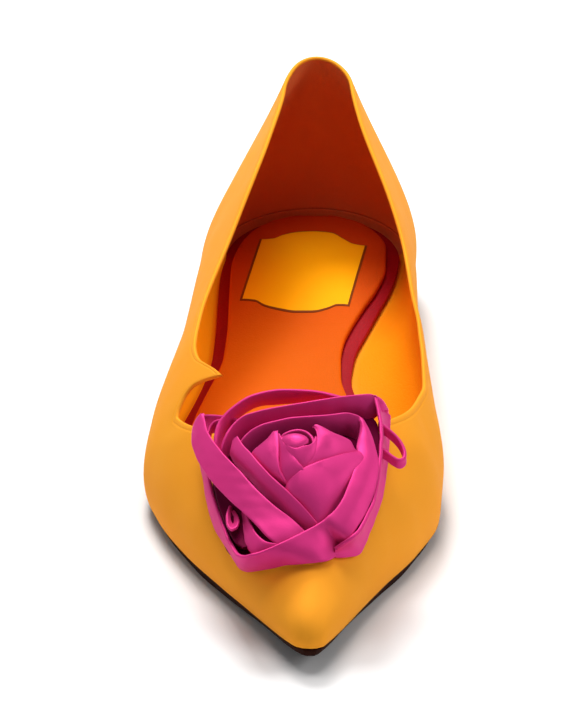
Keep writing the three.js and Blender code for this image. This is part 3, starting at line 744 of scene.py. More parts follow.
def build_upper():
    lat = topline_path(TOPLINE_LATERAL, -1, STEP)
    med = topline_path(TOPLINE_MEDIAL, 1, STEP)
    ring = [(p, -1) for p in lat] + [(p, 1) for p in med[1:-1][::-1]]
    lines = [section_line(p, side) for p, side in ring]
    grid = np.stack([l[0] for l in lines])
    q = np.stack([l[1] for l in lines])
    far = np.stack([l[2] for l in lines])
    side = np.array([s for _, s in ring])
    foot = np.array([p[2] for p, _ in ring])
    m, n = grid.shape[:2]
    grid = settle(grid, smoothstep(128, 150, foot))
    grid = crease(grid)
    du = np.roll(grid, -1, 0) - np.roll(grid, 1, 0)
    dv = np.empty_like(grid)
    dv[:, 1:-1] = grid[:, 2:] - grid[:, :-2]
    dv[:, 0] = grid[:, 1] - grid[:, 0]
    dv[:, -1] = grid[:, -1] - grid[:, -2]
    normal = unit(np.cross(du, dv))
    if normal[0, n // 2, 1] < 0:
        normal = -normal
    down = unit(dv)
    # a fine fold line runs a little below the edge
    d = far - EDGE
    groove = -0.16 * np.exp(-(((d - 1.15) / 0.22) ** 2))
    outer = grid + normal * groove[..., None]
    thick = 1.15 + (WALL - 1.15) * smoothstep(0, 9, d)  # skived towards the topline
    inner = grid - normal * thick[..., None]
    # rounded edge between them
    phi = np.linspace(0, np.pi, 9)[1:-1]
    mid = (grid[:, 0] + inner[:, 0]) / 2
    edge = (
        mid[:, None]
        + 0.575 * np.cos(phi)[None, :, None] * normal[:, 0][:, None]
        - 0.575 * np.sin(phi)[None, :, None] * down[:, 0][:, None]
    )
    # lasting margin under the insole
    bx, bv, tx, tv = (np.zeros(m) for _ in range(4))
    for s in (-1, 1):
        k = side == s
        bx[k], bv[k] = inset_feather(foot[k], s, WALL)
        tx[k], tv[k] = inset_feather(foot[k], s, MARGIN)
    y = lambda v: v - FEATHER_LENGTH / 2
    knee = np.stack([bx, y(bv), floor_at(bv) + MARGIN_THICK], 1)
    over = np.stack([tx, y(tv), floor_at(tv) + MARGIN_THICK], 1)
    under = np.stack([tx, y(tv), floor_at(tv)], 1)
    half = (outer[:, -1] + under) / 2
    half[:, 2] = floor_at(half[:, 1] + FEATHER_LENGTH / 2)
    loops = np.concatenate(
        [outer, half[:, None], under[:, None], over[:, None], knee[:, None], inner[:, :-1][:, ::-1], edge[:, ::-1]], 1
    )
    total = loops.shape[1]
    faces = grid_faces(m, total, True, True)
    # which stretch of the loop each face belongs to
    j = np.tile(np.arange(total), m)
    which = np.zeros(len(j), int)
    which[(j >= n + 3) & (j < n + 3 + n - 1)] = 1
    # seam of the heel grip, from the topline at q 207 down to the insole at q 230
    ref_q = np.concatenate([q, q[:, -1:].repeat(4, 1), q[:, :-1][:, ::-1], q[:, :1].repeat(len(phi), 1)], 1)
    ref_d = np.concatenate([d, d[:, -1:].repeat(4, 1), d[:, :-1][:, ::-1], np.zeros((m, len(phi)))], 1)
    high = np.clip((loops[..., 2] - 13.5) / 40, 0, 1)
    seam = 231 - 22 * high**0.7
    grip = ref_q - seam
    # thread directions: along the topline and down the wall
    along = np.concatenate([[0], np.cumsum(np.linalg.norm(np.diff(grid[:, n // 3], axis=0), axis=1))])
    uv = np.stack([np.broadcast_to(along[:, None], loops.shape[:2]) / 1000, ref_d / 1000], -1)
    faces = outward(loops, faces)
    above = loops[..., 2] - floor_at(loops[..., 1] + FEATHER_LENGTH / 2) - 2.8
    layers = {"grip": grip, "depth": ref_d, "above": above}
    obj = make("upper_shell", loops, faces, [SATIN, LINING], which, True, layers, uv)
    return obj, dict(grid=grid, normal=normal, q=q, side=side, inner=inner)


upper, upper_data = build_upper()
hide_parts("upper")
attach(upper, "root")


# ---- plates: outsole, heel, insole, sock --------------------------------------------------------------------------
def plate(stations, edge_top, edge_bottom, top, bottom, splits=24, round_top=0.0, round_bottom=0.0, arc=4):
    """Section loops across the shoe from toe to heel, with rounded edges. Returns points, faces and the number of
    points across each top row.
    """
    stations = np.asarray(stations, float)
    (lx, lv), (rx, rv) = edge_top(stations, -1), edge_top(stations, 1)
    (blx, blv), (brx, brv) = edge_bottom(stations, -1), edge_bottom(stations, 1)
    s = np.linspace(0, 1, splits + 1)

    def row(ax, av, bx, bv, z, drop, sign):
        # rows across, with the outermost points bent down (or up) into a quarter circle of radius drop
        w = np.hypot(bx - ax, bv - av)
        r = np.minimum(drop, w / 3)
        if drop:
            a = np.linspace(0, np.pi / 2, arc + 1)
            lead = r[:, None] * (1 - np.cos(a))[None] / w[:, None]  # share of the width at each arc point
            fall = r[:, None] * (1 - np.sin(a))[None]
        else:
            lead = np.zeros((len(w), 1))
            fall = np.zeros((len(w), 1))
        middle = lead[:, -1:] + (1 - 2 * lead[:, -1:]) * s[None, 1:-1]
        share = np.concatenate([lead, middle, 1 - lead[:, ::-1]], 1)
        sink = np.concatenate([fall, np.zeros_like(middle), fall[:, ::-1]], 1)
        x = ax[:, None] + (bx - ax)[:, None] * share
        v = av[:, None] + (bv - av)[:, None] * share
        return np.stack([x, v - FEATHER_LENGTH / 2, z(v) - sign * sink], -1)

    up = row(lx, lv, rx, rv, top, round_top, 1)
    low = row(blx, blv, brx, brv, bottom, round_bottom, -1)
    loops = np.concatenate([up, low[:, ::-1]], 1)
    m, n = loops.shape[:2]
    faces = [grid_faces(m, n, False, True)]
    k = up.shape[1]
    if low.shape[1] == k:
        for i in (0, m - 1):
            j = np.arange(k - 1)
            f = np.stack([i * n + j, i * n + j + 1, i * n + (n - 2 - j), i * n + (n - 1 - j)], -1)
            faces.append(f if i else f[:, ::-1])
    faces = np.concatenate(faces)
    return loops, outward(loops, faces), k


def stations(first, final, step):
    toe = [q for q in (0.3, 0.6, 1, 1.6, 2.5, 3.6, 5, 6.8, 9) if q >= first]
    body = np.arange(max(first, 11), min(final, 225), step)
    tail = np.arange(225, min(final, 268.6), step * 0.8) if final > 225 else []
    out = np.unique(np.concatenate([[first], toe, body, tail, [min(final, 268.6)]]))
    return out


def sole_inset(q):
    return SOLE_INSET + 0.6 * smoothstep(6, 22, q)  # it shows less beside the forefoot than at the toe


fine = 2.0
loops, faces, k = plate(
    stations(0.3, 270, fine),
    lambda q, s: inset_feather(q, s, sole_inset(q)),
    lambda q, s: inset_feather(q, s, sole_inset(q) + SOLE_BEVEL),
    lambda v: floor_at(v) - GAP,
    sole_under,
    24, 0.35, 0.6,
)
outsole = make("outsole_leather", loops, faces, [SOLE])
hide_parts("outsole")
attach(outsole, "root")

loops, faces, k = plate(
    stations(BREAST, 270, fine),
    lambda q, s: inset_feather(q, s, HEEL_INSET + SOLE_BEVEL),
    lambda q, s: inset_feather(q, s, HEEL_INSET + SOLE_BEVEL + HEEL_TAPER),
    lambda v: sole_under(v) - GAP,
    lambda v: 0 * v,
    16, 0.3, 0.5,
)
heel = make("heel_block", loops, faces, [HEEL])
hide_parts("heel")
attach(heel, "root")

INSOLE_BASE = MARGIN_THICK + GAP
loops, faces, k = plate(
    stations(2.5, 270, fine),
    lambda q, s: inset_feather(q, s, WALL + 0.45),
    lambda q, s: inset_feather(q, s, WALL + 0.45),
    lambda v: floor_at(v) + INSOLE_BASE + INSOLE_THICK,
    lambda v: floor_at(v) + INSOLE_BASE,
    24, 0.3, 0.3,
)
insole = make("insole_leather", loops, faces, [CRIMSON])
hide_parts("insole")
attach(insole, "root")

SOCK_BASE = INSOLE_BASE + INSOLE_THICK + GAP
sock_edge = {-1: pchip(SOCK["v"], SOCK["lateral"]), 1: pchip(SOCK["v"], SOCK["medial"])}
rows = np.unique(np.concatenate([np.arange(46, 244, fine), [244, 246, 247.5, 249, 250, 250.5]]))
loops, faces, k = plate(
    rows,
    lambda v, s: (sock_edge[s](v), v),
    lambda v, s: (sock_edge[s](v), v),
    lambda v: floor_at(v) + SOCK_BASE + SOCK_THICK,
    lambda v: floor_at(v) + SOCK_BASE,
    40, 0.8, 0.2,
)
# how much painted shade the sock takes, rising from the ball to the heel
back = smoothstep(140, 250, loops[..., 1] + FEATHER_LENGTH / 2) ** 1.5
sock = make("sock_padded", loops, faces, [SOCK_MAT], None, True, {"heel_painted_shade": back})
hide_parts("sock_pad")
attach(sock, "root")

# ---- bare patch on the sock --------------------------------------------------------------------------------------
PATCH_BACK = [
    [-15.6, 234.2],
    [-11.7, 234.8],
    [-9.0, 237.2],
    [-4.9, 239.3],
    [0.1, 239.9],
    [5.1, 238.8],
    [8.2, 235.0],
    [11.4, 231.2],
    [15.2, 230.0],
]
PATCH_FRONT = [
    [-20.8, 194.5],
    [-16.8, 194.0],
    [-13.7, 190.9],
    [-9.4, 188.7],
    [-5.1, 187.4],
    [-0.2, 187.5],
    [4.0, 189.5],
    [6.8, 191.5],
    [10.1, 191.1],
]


def patch():
    """A thin plaque between its two bowed ends, with a dark rim half a millimetre wide."""
    back, front = np.array(PATCH_BACK, float), np.array(PATCH_FRONT, float)
    n = 61
    line = lambda p: np.stack(
        [pchip(np.linspace(0, 1, len(p)), p[:, k])(np.linspace(0, 1, n)) for k in range(2)], 1
    )
    a, b = line(back), line(front)
    t = np.concatenate([[0, 0.004, 0.016], np.linspace(0.03, 0.97, 40), [0.984, 0.996, 1]])
    s = np.concatenate([[0, 0.006, 0.02], np.linspace(0.035, 0.965, n - 6), [0.98, 0.994, 1]])
    at = lambda p: np.stack([np.interp(s, np.linspace(0, 1, n), p[:, k]) for k in range(2)], 1)
    a, b = at(a), at(b)
    flat = a[None] * (1 - t)[:, None, None] + b[None] * t[:, None, None]
    z = floor_at(flat[..., 1]) + SOCK_BASE + SOCK_THICK
    edge_t = np.minimum(t, 1 - t)[:, None]
    edge_s = np.minimum(s, 1 - s)[None]
    high = 0.32 * np.minimum(1, 0.35 + np.minimum(edge_t / 0.016, edge_s / 0.02))
    high = np.where((edge_t <= 0.0) | (edge_s <= 0.0), 0.12, high)
    y = flat[..., 1] - FEATHER_LENGTH / 2
    top = np.stack([flat[..., 0], y, z + high], -1)
    low = np.stack([flat[..., 0], y, z - 0.1], -1)
    m, k = top.shape[:2]
    up = grid_faces(m, k)
    down = grid_faces(m, k, at=m * k)[:, ::-1]
    ring = np.concatenate(
        [np.arange(k), np.arange(1, m) * k + k - 1, (m - 1) * k + np.arange(k - 1)[::-1], np.arange(1, m - 1)[::-1] * k]
    )
    nxt = np.roll(ring, -1)
    side = np.stack([ring, nxt, nxt + m * k, ring + m * k], 1)
    faces = np.concatenate([up, down, side])
    i, j = np.divmod(np.arange(len(up)), k - 1)
    rim = (i < 2) | (i >= m - 3) | (j < 2) | (j >= k - 3)
    which = np.concatenate([rim.astype(int), np.ones(len(down) + len(side), int)])
    pts = np.concatenate([top.reshape(-1, 3), low.reshape(-1, 3)])
    return pts, outward(pts, faces), which


pts, faces, which = patch()
label = make("sock_patch", pts, faces, [GOLD_PATCH, DARK_EDGE], which)
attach(label, "root")

# ---- rose --------------------------------------------------------------------------------------------------------
# rose strips: name, the solid it stands for, bow, thickness, rows of (x, v, z) at one edge and at the other
STRIPS = [
    ("long", "rose_frame", 0.6, 1.1, [
        [-19.8, 48.4, 40.1, -19.8, 49.0, 32.6],
        [-19.2, 49.1, 41.8, -19.2, 49.7, 34.3],
        [-18.1, 49.8, 43.2, -18.1, 50.4, 35.7],
        [-16.3, 51.1, 44.7, -16.3, 51.7, 37.2],
        [-13.5, 52.3, 46.1, -13.5, 52.9, 38.6],
        [-9.9, 52.9, 47.0, -9.9, 53.5, 39.5],
        [-5.9, 53.5, 47.7, -5.9, 54.1, 40.2],
        [-1.9, 54.0, 47.9, -1.9, 54.6, 40.4],
        [2.1, 54.6, 47.9, 2.1, 55.2, 40.4],
        [6.1, 55.7, 47.8, 6.1, 56.3, 40.3],
        [9.6, 56.7, 47.7, 9.6, 56.6, 40.6],
        [12.0, 56.7, 47.0, 11.8, 55.7, 40.4],
        [13.3, 56.1, 46.3, 13.1, 55.1, 45.1],
        [14.8, 54.1, 44.8, 12.9, 52.6, 43.9],
        [16.0, 51.6, 43.1, 12.3, 50.0, 42.8],
        [16.8, 49.0, 41.5, 11.9, 47.8, 41.8],
        [17.4, 46.3, 39.9, 12.2, 45.9, 41.2],
        [17.7, 43.8, 38.5, 11.9, 42.7, 40.4],
        [17.5, 40.6, 36.9, 11.1, 39.3, 39.3],
        [17.1, 38.3, 35.8, 10.4, 37.0, 38.2],
        [16.4, 35.5, 34.3, 9.6, 34.5, 37.1],
        [15.6, 33.3, 33.0, 8.7, 32.1, 35.8],
        [13.9, 29.3, 30.9, 7.3, 29.5, 34.3],
        [11.8, 25.6, 29.0, 5.8, 27.9, 33.0],
        [10.2, 23.6, 27.2, 4.4, 26.9, 32.2],
        [8.6, 26.4, 22.6, 2.7, 25.5, 31.4],
        [4.9, 20.7, 22.6, -0.1, 23.8, 30.4],
        [2.3, 18.7, 23.0, -3.3, 21.7, 29.6],
        [-2.1, 18.3, 22.8, -6.4, 19.8, 28.8],
        [-6.4, 19.4, 21.9, -9.6, 18.4, 27.9],
        [-10.4, 20.8, 20.2, -12.8, 17.3, 26.9],
        [-14.1, 23.6, 18.2, -15.3, 17.0, 26.1],
        [-16.7, 26.6, 16.5, -17.4, 18.3, 25.0],
        [-18.0, 28.8, 16.1, -18.7, 20.3, 24.5],
        [-19.8, 32.5, 16.9, -20.4, 25.8, 24.3],
        [-22.2, 37.9, 18.3, -22.3, 32.9, 25.0],
        [-24.7, 43.8, 19.8, -23.8, 39.3, 26.3],
        [-26.5, 49.4, 22.2, -25.1, 45.2, 28.0],
        [-27.5, 54.0, 24.7, -26.2, 49.9, 29.8],
        [-28.0, 58.1, 27.1, -26.8, 53.1, 31.5],
        [-28.8, 61.7, 28.9, -27.2, 56.1, 33.1],
        [-29.4, 65.2, 30.8, -27.6, 59.1, 34.7],
        [-29.6, 68.3, 32.9, -27.6, 62.8, 36.5],
    ]),
    ("side", "rose_frame", 0.6, 1.05, [
        [-23.8, 50.8, 37.1, -23.8, 51.0, 29.9],
        [-23.5, 52.1, 39.6, -23.5, 52.3, 32.4],
        [-22.6, 54.2, 41.7, -22.6, 54.4, 34.5],
        [-20.6, 57.3, 43.8, -20.6, 57.5, 36.6],
        [-18.0, 59.2, 45.4, -18.0, 59.4, 38.2],
        [-14.8, 59.7, 46.4, -14.8, 59.9, 39.2],
        [-11.6, 59.9, 47.2, -11.6, 60.1, 40.0],
        [-8.0, 60.2, 47.8, -8.0, 60.4, 40.6],
        [-3.9, 60.6, 48.4, -3.9, 60.8, 41.2],
        [0.1, 61.3, 48.8, 0.1, 61.5, 41.6],
        [4.1, 62.2, 49.1, 4.1, 62.4, 41.9],
        [8.1, 63.4, 49.2, 8.2, 63.7, 42.3],
        [12.2, 64.6, 49.1, 12.2, 64.3, 41.8],
        [14.8, 65.6, 48.8, 15.2, 64.3, 41.3],
        [16.5, 65.8, 48.3, 19.3, 66.8, 43.5],
        [17.2, 63.7, 47.0, 20.6, 70.6, 40.0],
        [17.8, 61.1, 45.6, 20.6, 68.3, 38.5],
        [18.2, 58.0, 44.0, 20.6, 65.6, 36.6],
        [18.4, 54.7, 42.5, 20.3, 62.7, 34.9],
        [18.3, 51.5, 40.9, 20.0, 59.4, 32.9],
        [18.1, 48.2, 39.4, 19.7, 56.0, 31.0],
        [17.8, 44.7, 38.0, 19.2, 52.7, 29.1],
        [17.6, 41.3, 36.6, 18.6, 49.7, 27.4],
        [17.0, 37.5, 34.9, 18.0, 46.8, 25.7],
        [16.3, 33.4, 33.1, 17.0, 43.6, 24.4],
        [15.0, 30.0, 31.6, 16.1, 40.7, 23.2],
        [13.9, 27.3, 30.4, 15.1, 37.3, 22.0],
        [12.5, 24.6, 29.3, 14.1, 33.7, 20.7],
        [10.7, 22.7, 28.4, 12.7, 29.9, 19.8],
        [8.6, 22.6, 26.9, 9.5, 26.0, 20.7],
        [6.3, 23.3, 24.9, 6.3, 23.6, 21.8],
    ]),
    ("left", "rose_frame", 0.5, 1.15, [
        [-29.2, 67.6, 41.5, -28.3, 66.6, 41.8],
        [-30.4, 66.8, 40.0, -27.9, 63.6, 41.6],
        [-31.2, 64.2, 38.5, -27.3, 59.8, 41.0],
        [-31.3, 60.6, 37.1, -25.9, 55.4, 40.4],
        [-30.4, 55.7, 35.8, -23.6, 50.1, 39.8],
        [-28.5, 50.1, 34.7, -20.7, 44.7, 39.0],
        [-26.1, 44.4, 33.8, -17.8, 40.1, 38.1],
        [-23.6, 40.0, 33.0, -15.6, 36.5, 37.1],
        [-20.8, 35.2, 32.3, -12.9, 32.8, 35.9],
        [-17.3, 30.3, 31.3, -8.9, 28.7, 34.0],
        [-14.1, 25.8, 30.1, -4.9, 26.0, 32.0],
        [-11.2, 22.1, 28.5, -1.7, 23.6, 29.9],
        [-8.0, 20.0, 26.8, 1.1, 22.0, 27.6],
    ]),
    ("second", "rose_frame", 0.6, 1.15, [
        [-19.1, 51.3, 43.2, -20.4, 51.7, 40.9],
        [-17.6, 47.4, 42.6, -20.9, 49.6, 38.8],
        [-15.8, 44.2, 42.1, -19.3, 46.3, 37.1],
        [-14.0, 41.1, 41.4, -17.5, 43.6, 36.2],
        [-12.2, 38.3, 40.6, -15.6, 40.9, 35.4],
        [-10.2, 35.7, 39.6, -13.6, 37.9, 34.4],
        [-8.1, 33.4, 38.6, -11.4, 35.0, 33.4],
        [-6.1, 31.6, 37.5, -9.3, 32.8, 32.5],
        [-4.3, 30.0, 36.3, -7.5, 30.9, 31.7],
        [-2.1, 28.3, 34.7, -5.3, 28.9, 30.5],
        [-0.1, 27.1, 32.8, -3.3, 27.3, 29.1],
        [1.8, 26.4, 30.6, -1.3, 26.2, 27.4],
        [3.3, 26.6, 28.6, 0.3, 25.3, 25.9],
    ]),
    ("arc", "rose_frame", 0.5, 1.1, [
        [-25.4, 53.1, 39.1, -23.5, 53.5, 36.7],
        [-25.5, 54.8, 40.7, -23.5, 55.5, 37.7],
        [-25.0, 57.1, 42.5, -23.2, 58.3, 39.0],
        [-24.2, 59.1, 43.9, -22.4, 60.9, 40.0],
        [-22.6, 60.7, 45.3, -20.9, 63.3, 41.0],
        [-20.1, 62.4, 46.9, -18.9, 65.5, 42.2],
        [-16.9, 64.0, 48.4, -16.1, 67.4, 43.4],
        [-13.3, 64.9, 49.4, -12.9, 68.1, 44.2],
        [-9.2, 65.3, 50.0, -9.3, 68.2, 44.6],
        [-5.2, 65.5, 50.1, -5.6, 68.2, 44.8],
        [-1.2, 65.4, 49.9, -2.0, 68.6, 45.0],
        [2.5, 65.2, 49.5, 1.7, 69.1, 45.0],
        [6.1, 64.7, 48.8, 5.3, 69.2, 44.8],
        [9.4, 64.5, 47.9, 8.5, 69.1, 44.4],
    ]),
    ("corner", "rose_frame", 0.3, 1.0, [
        [-29.8, 66.3, 40.2, -29.8, 66.8, 34.7],
        [-29.6, 67.0, 41.3, -29.6, 67.5, 35.8],
        [-28.3, 66.6, 42.0, -28.3, 67.1, 36.5],
        [-25.4, 65.2, 42.7, -25.4, 65.7, 37.2],
        [-22.1, 63.4, 43.2, -22.1, 63.9, 37.7],
        [-19.3, 61.5, 43.3, -19.3, 62.0, 37.8],
    ]),
    ("curl_top", "rose_frame", 0.2, 0.9, [
        [-27.3, 60.7, 39.7, -26.9, 61.1, 37.1],
        [-26.7, 62.4, 41.0, -26.3, 62.8, 38.4],
        [-25.6, 63.2, 41.9, -25.2, 63.6, 39.3],
        [-24.2, 63.1, 42.4, -23.8, 63.5, 39.8],
        [-22.1, 61.9, 42.4, -21.7, 62.3, 39.8],
    ]),
    ("curl_low", "rose_frame", 0.2, 0.9, [
        [-21.3, 37.7, 29.8, -20.6, 38.1, 28.7],
        [-21.9, 34.9, 29.2, -20.9, 35.8, 28.3],
        [-22.0, 32.1, 28.6, -20.9, 33.6, 27.8],
        [-21.6, 29.3, 28.0, -20.6, 32.0, 27.5],
        [-20.5, 27.5, 27.7, -20.1, 31.3, 27.4],
        [-19.2, 27.8, 28.1, -19.7, 31.9, 27.7],
        [-18.5, 29.9, 28.6, -19.7, 33.4, 27.9],
        [-18.7, 32.8, 28.9, -19.9, 35.4, 28.0],
        [-19.7, 36.2, 29.0, -20.4, 37.5, 28.1],
    ]),
    ("short", "rose_frame", 0.4, 1.0, [
        [-16.5, 33.6, 30.6, -17.8, 35.5, 28.7],
        [-16.0, 30.6, 29.9, -17.4, 32.4, 27.6],
        [-15.0, 27.1, 29.1, -17.1, 28.1, 26.2],
        [-13.4, 23.6, 28.3, -16.4, 23.7, 24.8],
        [-11.1, 21.1, 27.7, -14.4, 20.4, 24.1],
        [-7.6, 20.5, 27.6, -10.8, 19.0, 24.1],
    ]),
    ("loop", "rose_frame", 0.1, 1.0, [
        [17.8, 61.6, 42.7, 17.8, 61.8, 39.7],
        [20.1, 60.7, 41.4, 20.1, 60.9, 38.4],
        [22.1, 59.7, 40.0, 22.1, 59.9, 37.0],
        [23.7, 58.1, 38.5, 23.7, 58.3, 35.5],
        [24.6, 55.8, 37.0, 24.6, 56.0, 34.0],
        [24.4, 53.8, 36.2, 24.4, 54.0, 33.2],
        [23.2, 52.5, 36.2, 23.2, 52.7, 33.2],
        [21.5, 53.0, 36.9, 21.5, 53.2, 33.9],
        [19.7, 54.0, 38.0, 19.7, 54.2, 35.0],
        [17.8, 54.9, 38.8, 17.8, 55.1, 35.8],
    ]),
    ("petal_left", "rose_petals", 0.5, 1.1, [
        [-8.6, 47.1, 47.2, -9.9, 46.5, 46.4],
        [-8.3, 43.8, 46.0, -11.4, 45.7, 45.0],
        [-8.2, 40.6, 44.5, -13.0, 45.2, 43.7],
        [-8.2, 37.7, 42.8, -14.7, 45.1, 42.3],
        [-7.9, 35.7, 41.2, -15.4, 44.8, 40.8],
        [-7.2, 34.6, 39.9, -13.8, 42.4, 39.3],
        [-6.1, 34.0, 38.5, -11.4, 39.2, 37.8],
        [-4.6, 34.0, 36.4, -8.2, 35.8, 35.7],
    ]),
    ("petal_v", "rose_petals", 0.4, 1.0, [
        [-8.1, 45.5, 46.9, -8.7, 46.8, 46.1],
        [-7.1, 42.8, 46.3, -8.7, 43.8, 44.7],
        [-5.8, 40.5, 45.4, -8.8, 40.9, 43.0],
        [-4.4, 38.2, 44.3, -8.7, 38.6, 41.5],
        [-3.1, 36.4, 43.2, -8.4, 36.4, 39.9],
        [-1.8, 35.0, 42.1, -7.6, 35.1, 38.3],
        [-1.8, 34.5, 40.4, -6.2, 33.8, 36.7],
    ]),
    ("petal_low", "rose_petals", 1.3, 1.1, [
        [-7.2, 35.6, 35.7, -5.8, 33.3, 34.3],
        [-5.7, 33.6, 38.8, -3.7, 31.4, 33.0],
        [-4.0, 34.0, 40.6, -1.7, 29.3, 31.6],
        [-2.0, 35.2, 41.9, 0.1, 27.5, 30.3],
        [0.2, 36.5, 42.5, 2.1, 26.4, 29.6],
        [2.2, 37.7, 42.8, 4.1, 27.6, 30.1],
        [4.2, 39.1, 42.9, 6.2, 30.1, 31.2],
        [6.2, 40.6, 42.8, 8.0, 32.5, 32.7],
        [8.6, 42.4, 42.6, 9.8, 35.8, 34.6],
        [10.7, 44.1, 42.2, 11.4, 39.2, 36.5],
        [13.0, 46.6, 41.3, 13.6, 43.0, 38.4],
    ]),
    ("petal_right", "rose_petals", 1.1, 1.1, [
        [0.5, 47.6, 48.0, 1.5, 47.8, 48.1],
        [1.2, 46.3, 47.7, 4.0, 47.3, 47.2],
        [1.6, 44.1, 46.8, 6.3, 46.8, 46.1],
        [1.4, 41.9, 45.6, 8.5, 47.1, 45.0],
        [0.7, 39.7, 44.3, 10.4, 47.3, 43.7],
        [-0.2, 37.8, 43.0, 11.5, 46.5, 41.9],
        [-1.3, 36.3, 41.7, 12.9, 47.0, 40.7],
        [-2.4, 35.6, 39.8, 13.4, 45.0, 38.8],
    ]),
    ("petal_front", "rose_bud", 0.5, 1.0, [
        [1.1, 44.0, 47.0, 2.2, 42.1, 43.3],
        [0.7, 41.8, 46.5, 1.4, 39.3, 42.0],
        [-0.4, 40.5, 46.2, 0.0, 37.0, 40.9],
        [-2.0, 39.9, 46.2, -1.8, 35.2, 40.1],
        [-3.7, 39.3, 45.9, -3.8, 36.0, 40.6],
        [-5.3, 40.1, 46.0, -5.6, 38.6, 41.9],
        [-6.6, 42.1, 46.3, -7.0, 41.7, 43.5],
        [-7.6, 44.5, 46.6, -8.0, 44.4, 44.8],
    ]),
    ("rim", "rose_bud", 0.1, 0.95, [
        [-7.9, 44.4, 45.8, -7.9, 44.1, 42.2],
        [-7.4, 45.3, 46.8, -7.4, 45.0, 43.2],
        [-5.9, 45.9, 47.5, -5.9, 45.6, 43.9],
        [-4.0, 46.2, 47.9, -4.0, 45.9, 44.3],
        [-2.2, 45.9, 47.9, -2.2, 45.6, 44.3],
        [-0.6, 44.9, 47.6, -0.6, 44.6, 44.0],
        [0.5, 43.3, 47.0, 0.5, 43.0, 43.4],
        [0.9, 41.7, 46.2, 0.9, 41.4, 42.6],
    ]),
    ("roll", "rose_bud", 0.7, 1.1, [
        [-7.3, 43.9, 46.5, -6.9, 42.5, 46.0],
        [-6.2, 44.0, 47.2, -5.9, 40.4, 45.7],
        [-4.6, 43.9, 47.6, -4.3, 39.4, 45.7],
        [-2.8, 43.5, 47.6, -2.5, 39.7, 46.0],
        [-1.5, 42.8, 47.3, -1.3, 40.5, 46.3],
        [-0.8, 41.8, 46.8, -0.5, 41.4, 46.5],
    ]),
    # the two floor strips are dark sheets of painted shade that fill the shadowed gaps deep in the rose
    ("floor", "rose_petals", 0.1, 1.0, [
        [10.2, 62.7, 42.1, 6.2, 51.5, 40.0],
        [12.6, 65.2, 42.6, 8.6, 52.1, 39.7],
        [15.2, 65.6, 42.4, 10.2, 52.1, 39.3],
        [17.0, 63.6, 41.7, 11.0, 51.2, 38.8],
        [17.9, 59.5, 40.1, 11.6, 49.6, 38.3],
        [18.2, 54.5, 38.1, 11.8, 46.8, 37.4],
        [18.1, 49.3, 36.2, 11.4, 43.7, 36.3],
        [17.4, 44.0, 34.3, 10.4, 40.0, 35.0],
    ]),
    ("floor_low", "rose_petals", 0.1, 1.0, [
        [-26.9, 57.4, 32.9, -22.8, 49.6, 36.8],
        [-26.1, 53.3, 31.4, -20.7, 46.1, 35.0],
        [-25.1, 47.4, 29.4, -18.7, 42.7, 33.1],
        [-24.1, 41.8, 27.7, -17.0, 38.8, 31.5],
        [-22.8, 36.4, 26.4, -15.4, 34.7, 30.0],
        [-21.3, 31.3, 25.4, -14.1, 31.0, 28.7],
        [-19.7, 26.8, 24.6, -12.9, 26.8, 27.3],
        [-17.6, 23.4, 24.5, -11.2, 23.1, 26.1],
    ]),
]  # end of the rose strips


def smooth_path(points, step):
    """Points along a smooth line through the rows, each row holding both edges."""
    points = np.asarray(points, float)
    k = points.shape[1] // 3
    gap = np.linalg.norm(np.diff(points.reshape(len(points), k, 3), axis=0), axis=2).mean(1)
    t = np.concatenate([[0], np.cumsum(np.maximum(gap, 0.2) ** 0.75)])
    m = np.empty_like(points)
    d = np.diff(points, axis=0) / np.diff(t)[:, None]
    h = np.diff(t)[:, None]
    m[1:-1] = (d[:-1] * h[1:] + d[1:] * h[:-1]) / (h[:-1] + h[1:])
    m[0], m[-1] = d[0], d[-1]
    out = []
    for i in range(len(points) - 1):
        n = max(2, int(round(gap[i] / step)))
        w = (np.arange(n) / n)[:, None]
        hi = t[i + 1] - t[i]
        out.append(
            points[i] * (1 + 2 * w) * (1 - w) ** 2
            + m[i] * hi * w * (1 - w) ** 2
            + points[i + 1] * w * w * (3 - 2 * w)
            + m[i + 1] * hi * w * w * (w - 1)
        )
    out.append(points[-1:])
    return np.concatenate(out)


def waves(seed, count, low, high):
    """A smooth random function of two lengths in mm, about -1 to 1."""
    r = np.random.default_rng(seed)
    k = r.uniform(2 * np.pi / high, 2 * np.pi / low, count)
    a = r.uniform(0, np.pi, count)
    p = r.uniform(0, 2 * np.pi, count)

    def f(x, y):
        s = sum(np.sin(k[i] * (np.cos(a[i]) * x + np.sin(a[i]) * y) + p[i]) for i in range(count))
        return s / math.sqrt(count / 2) / 1.6

    return f


EYE_SIDE = np.array([0.0, -0.9, 0.45])


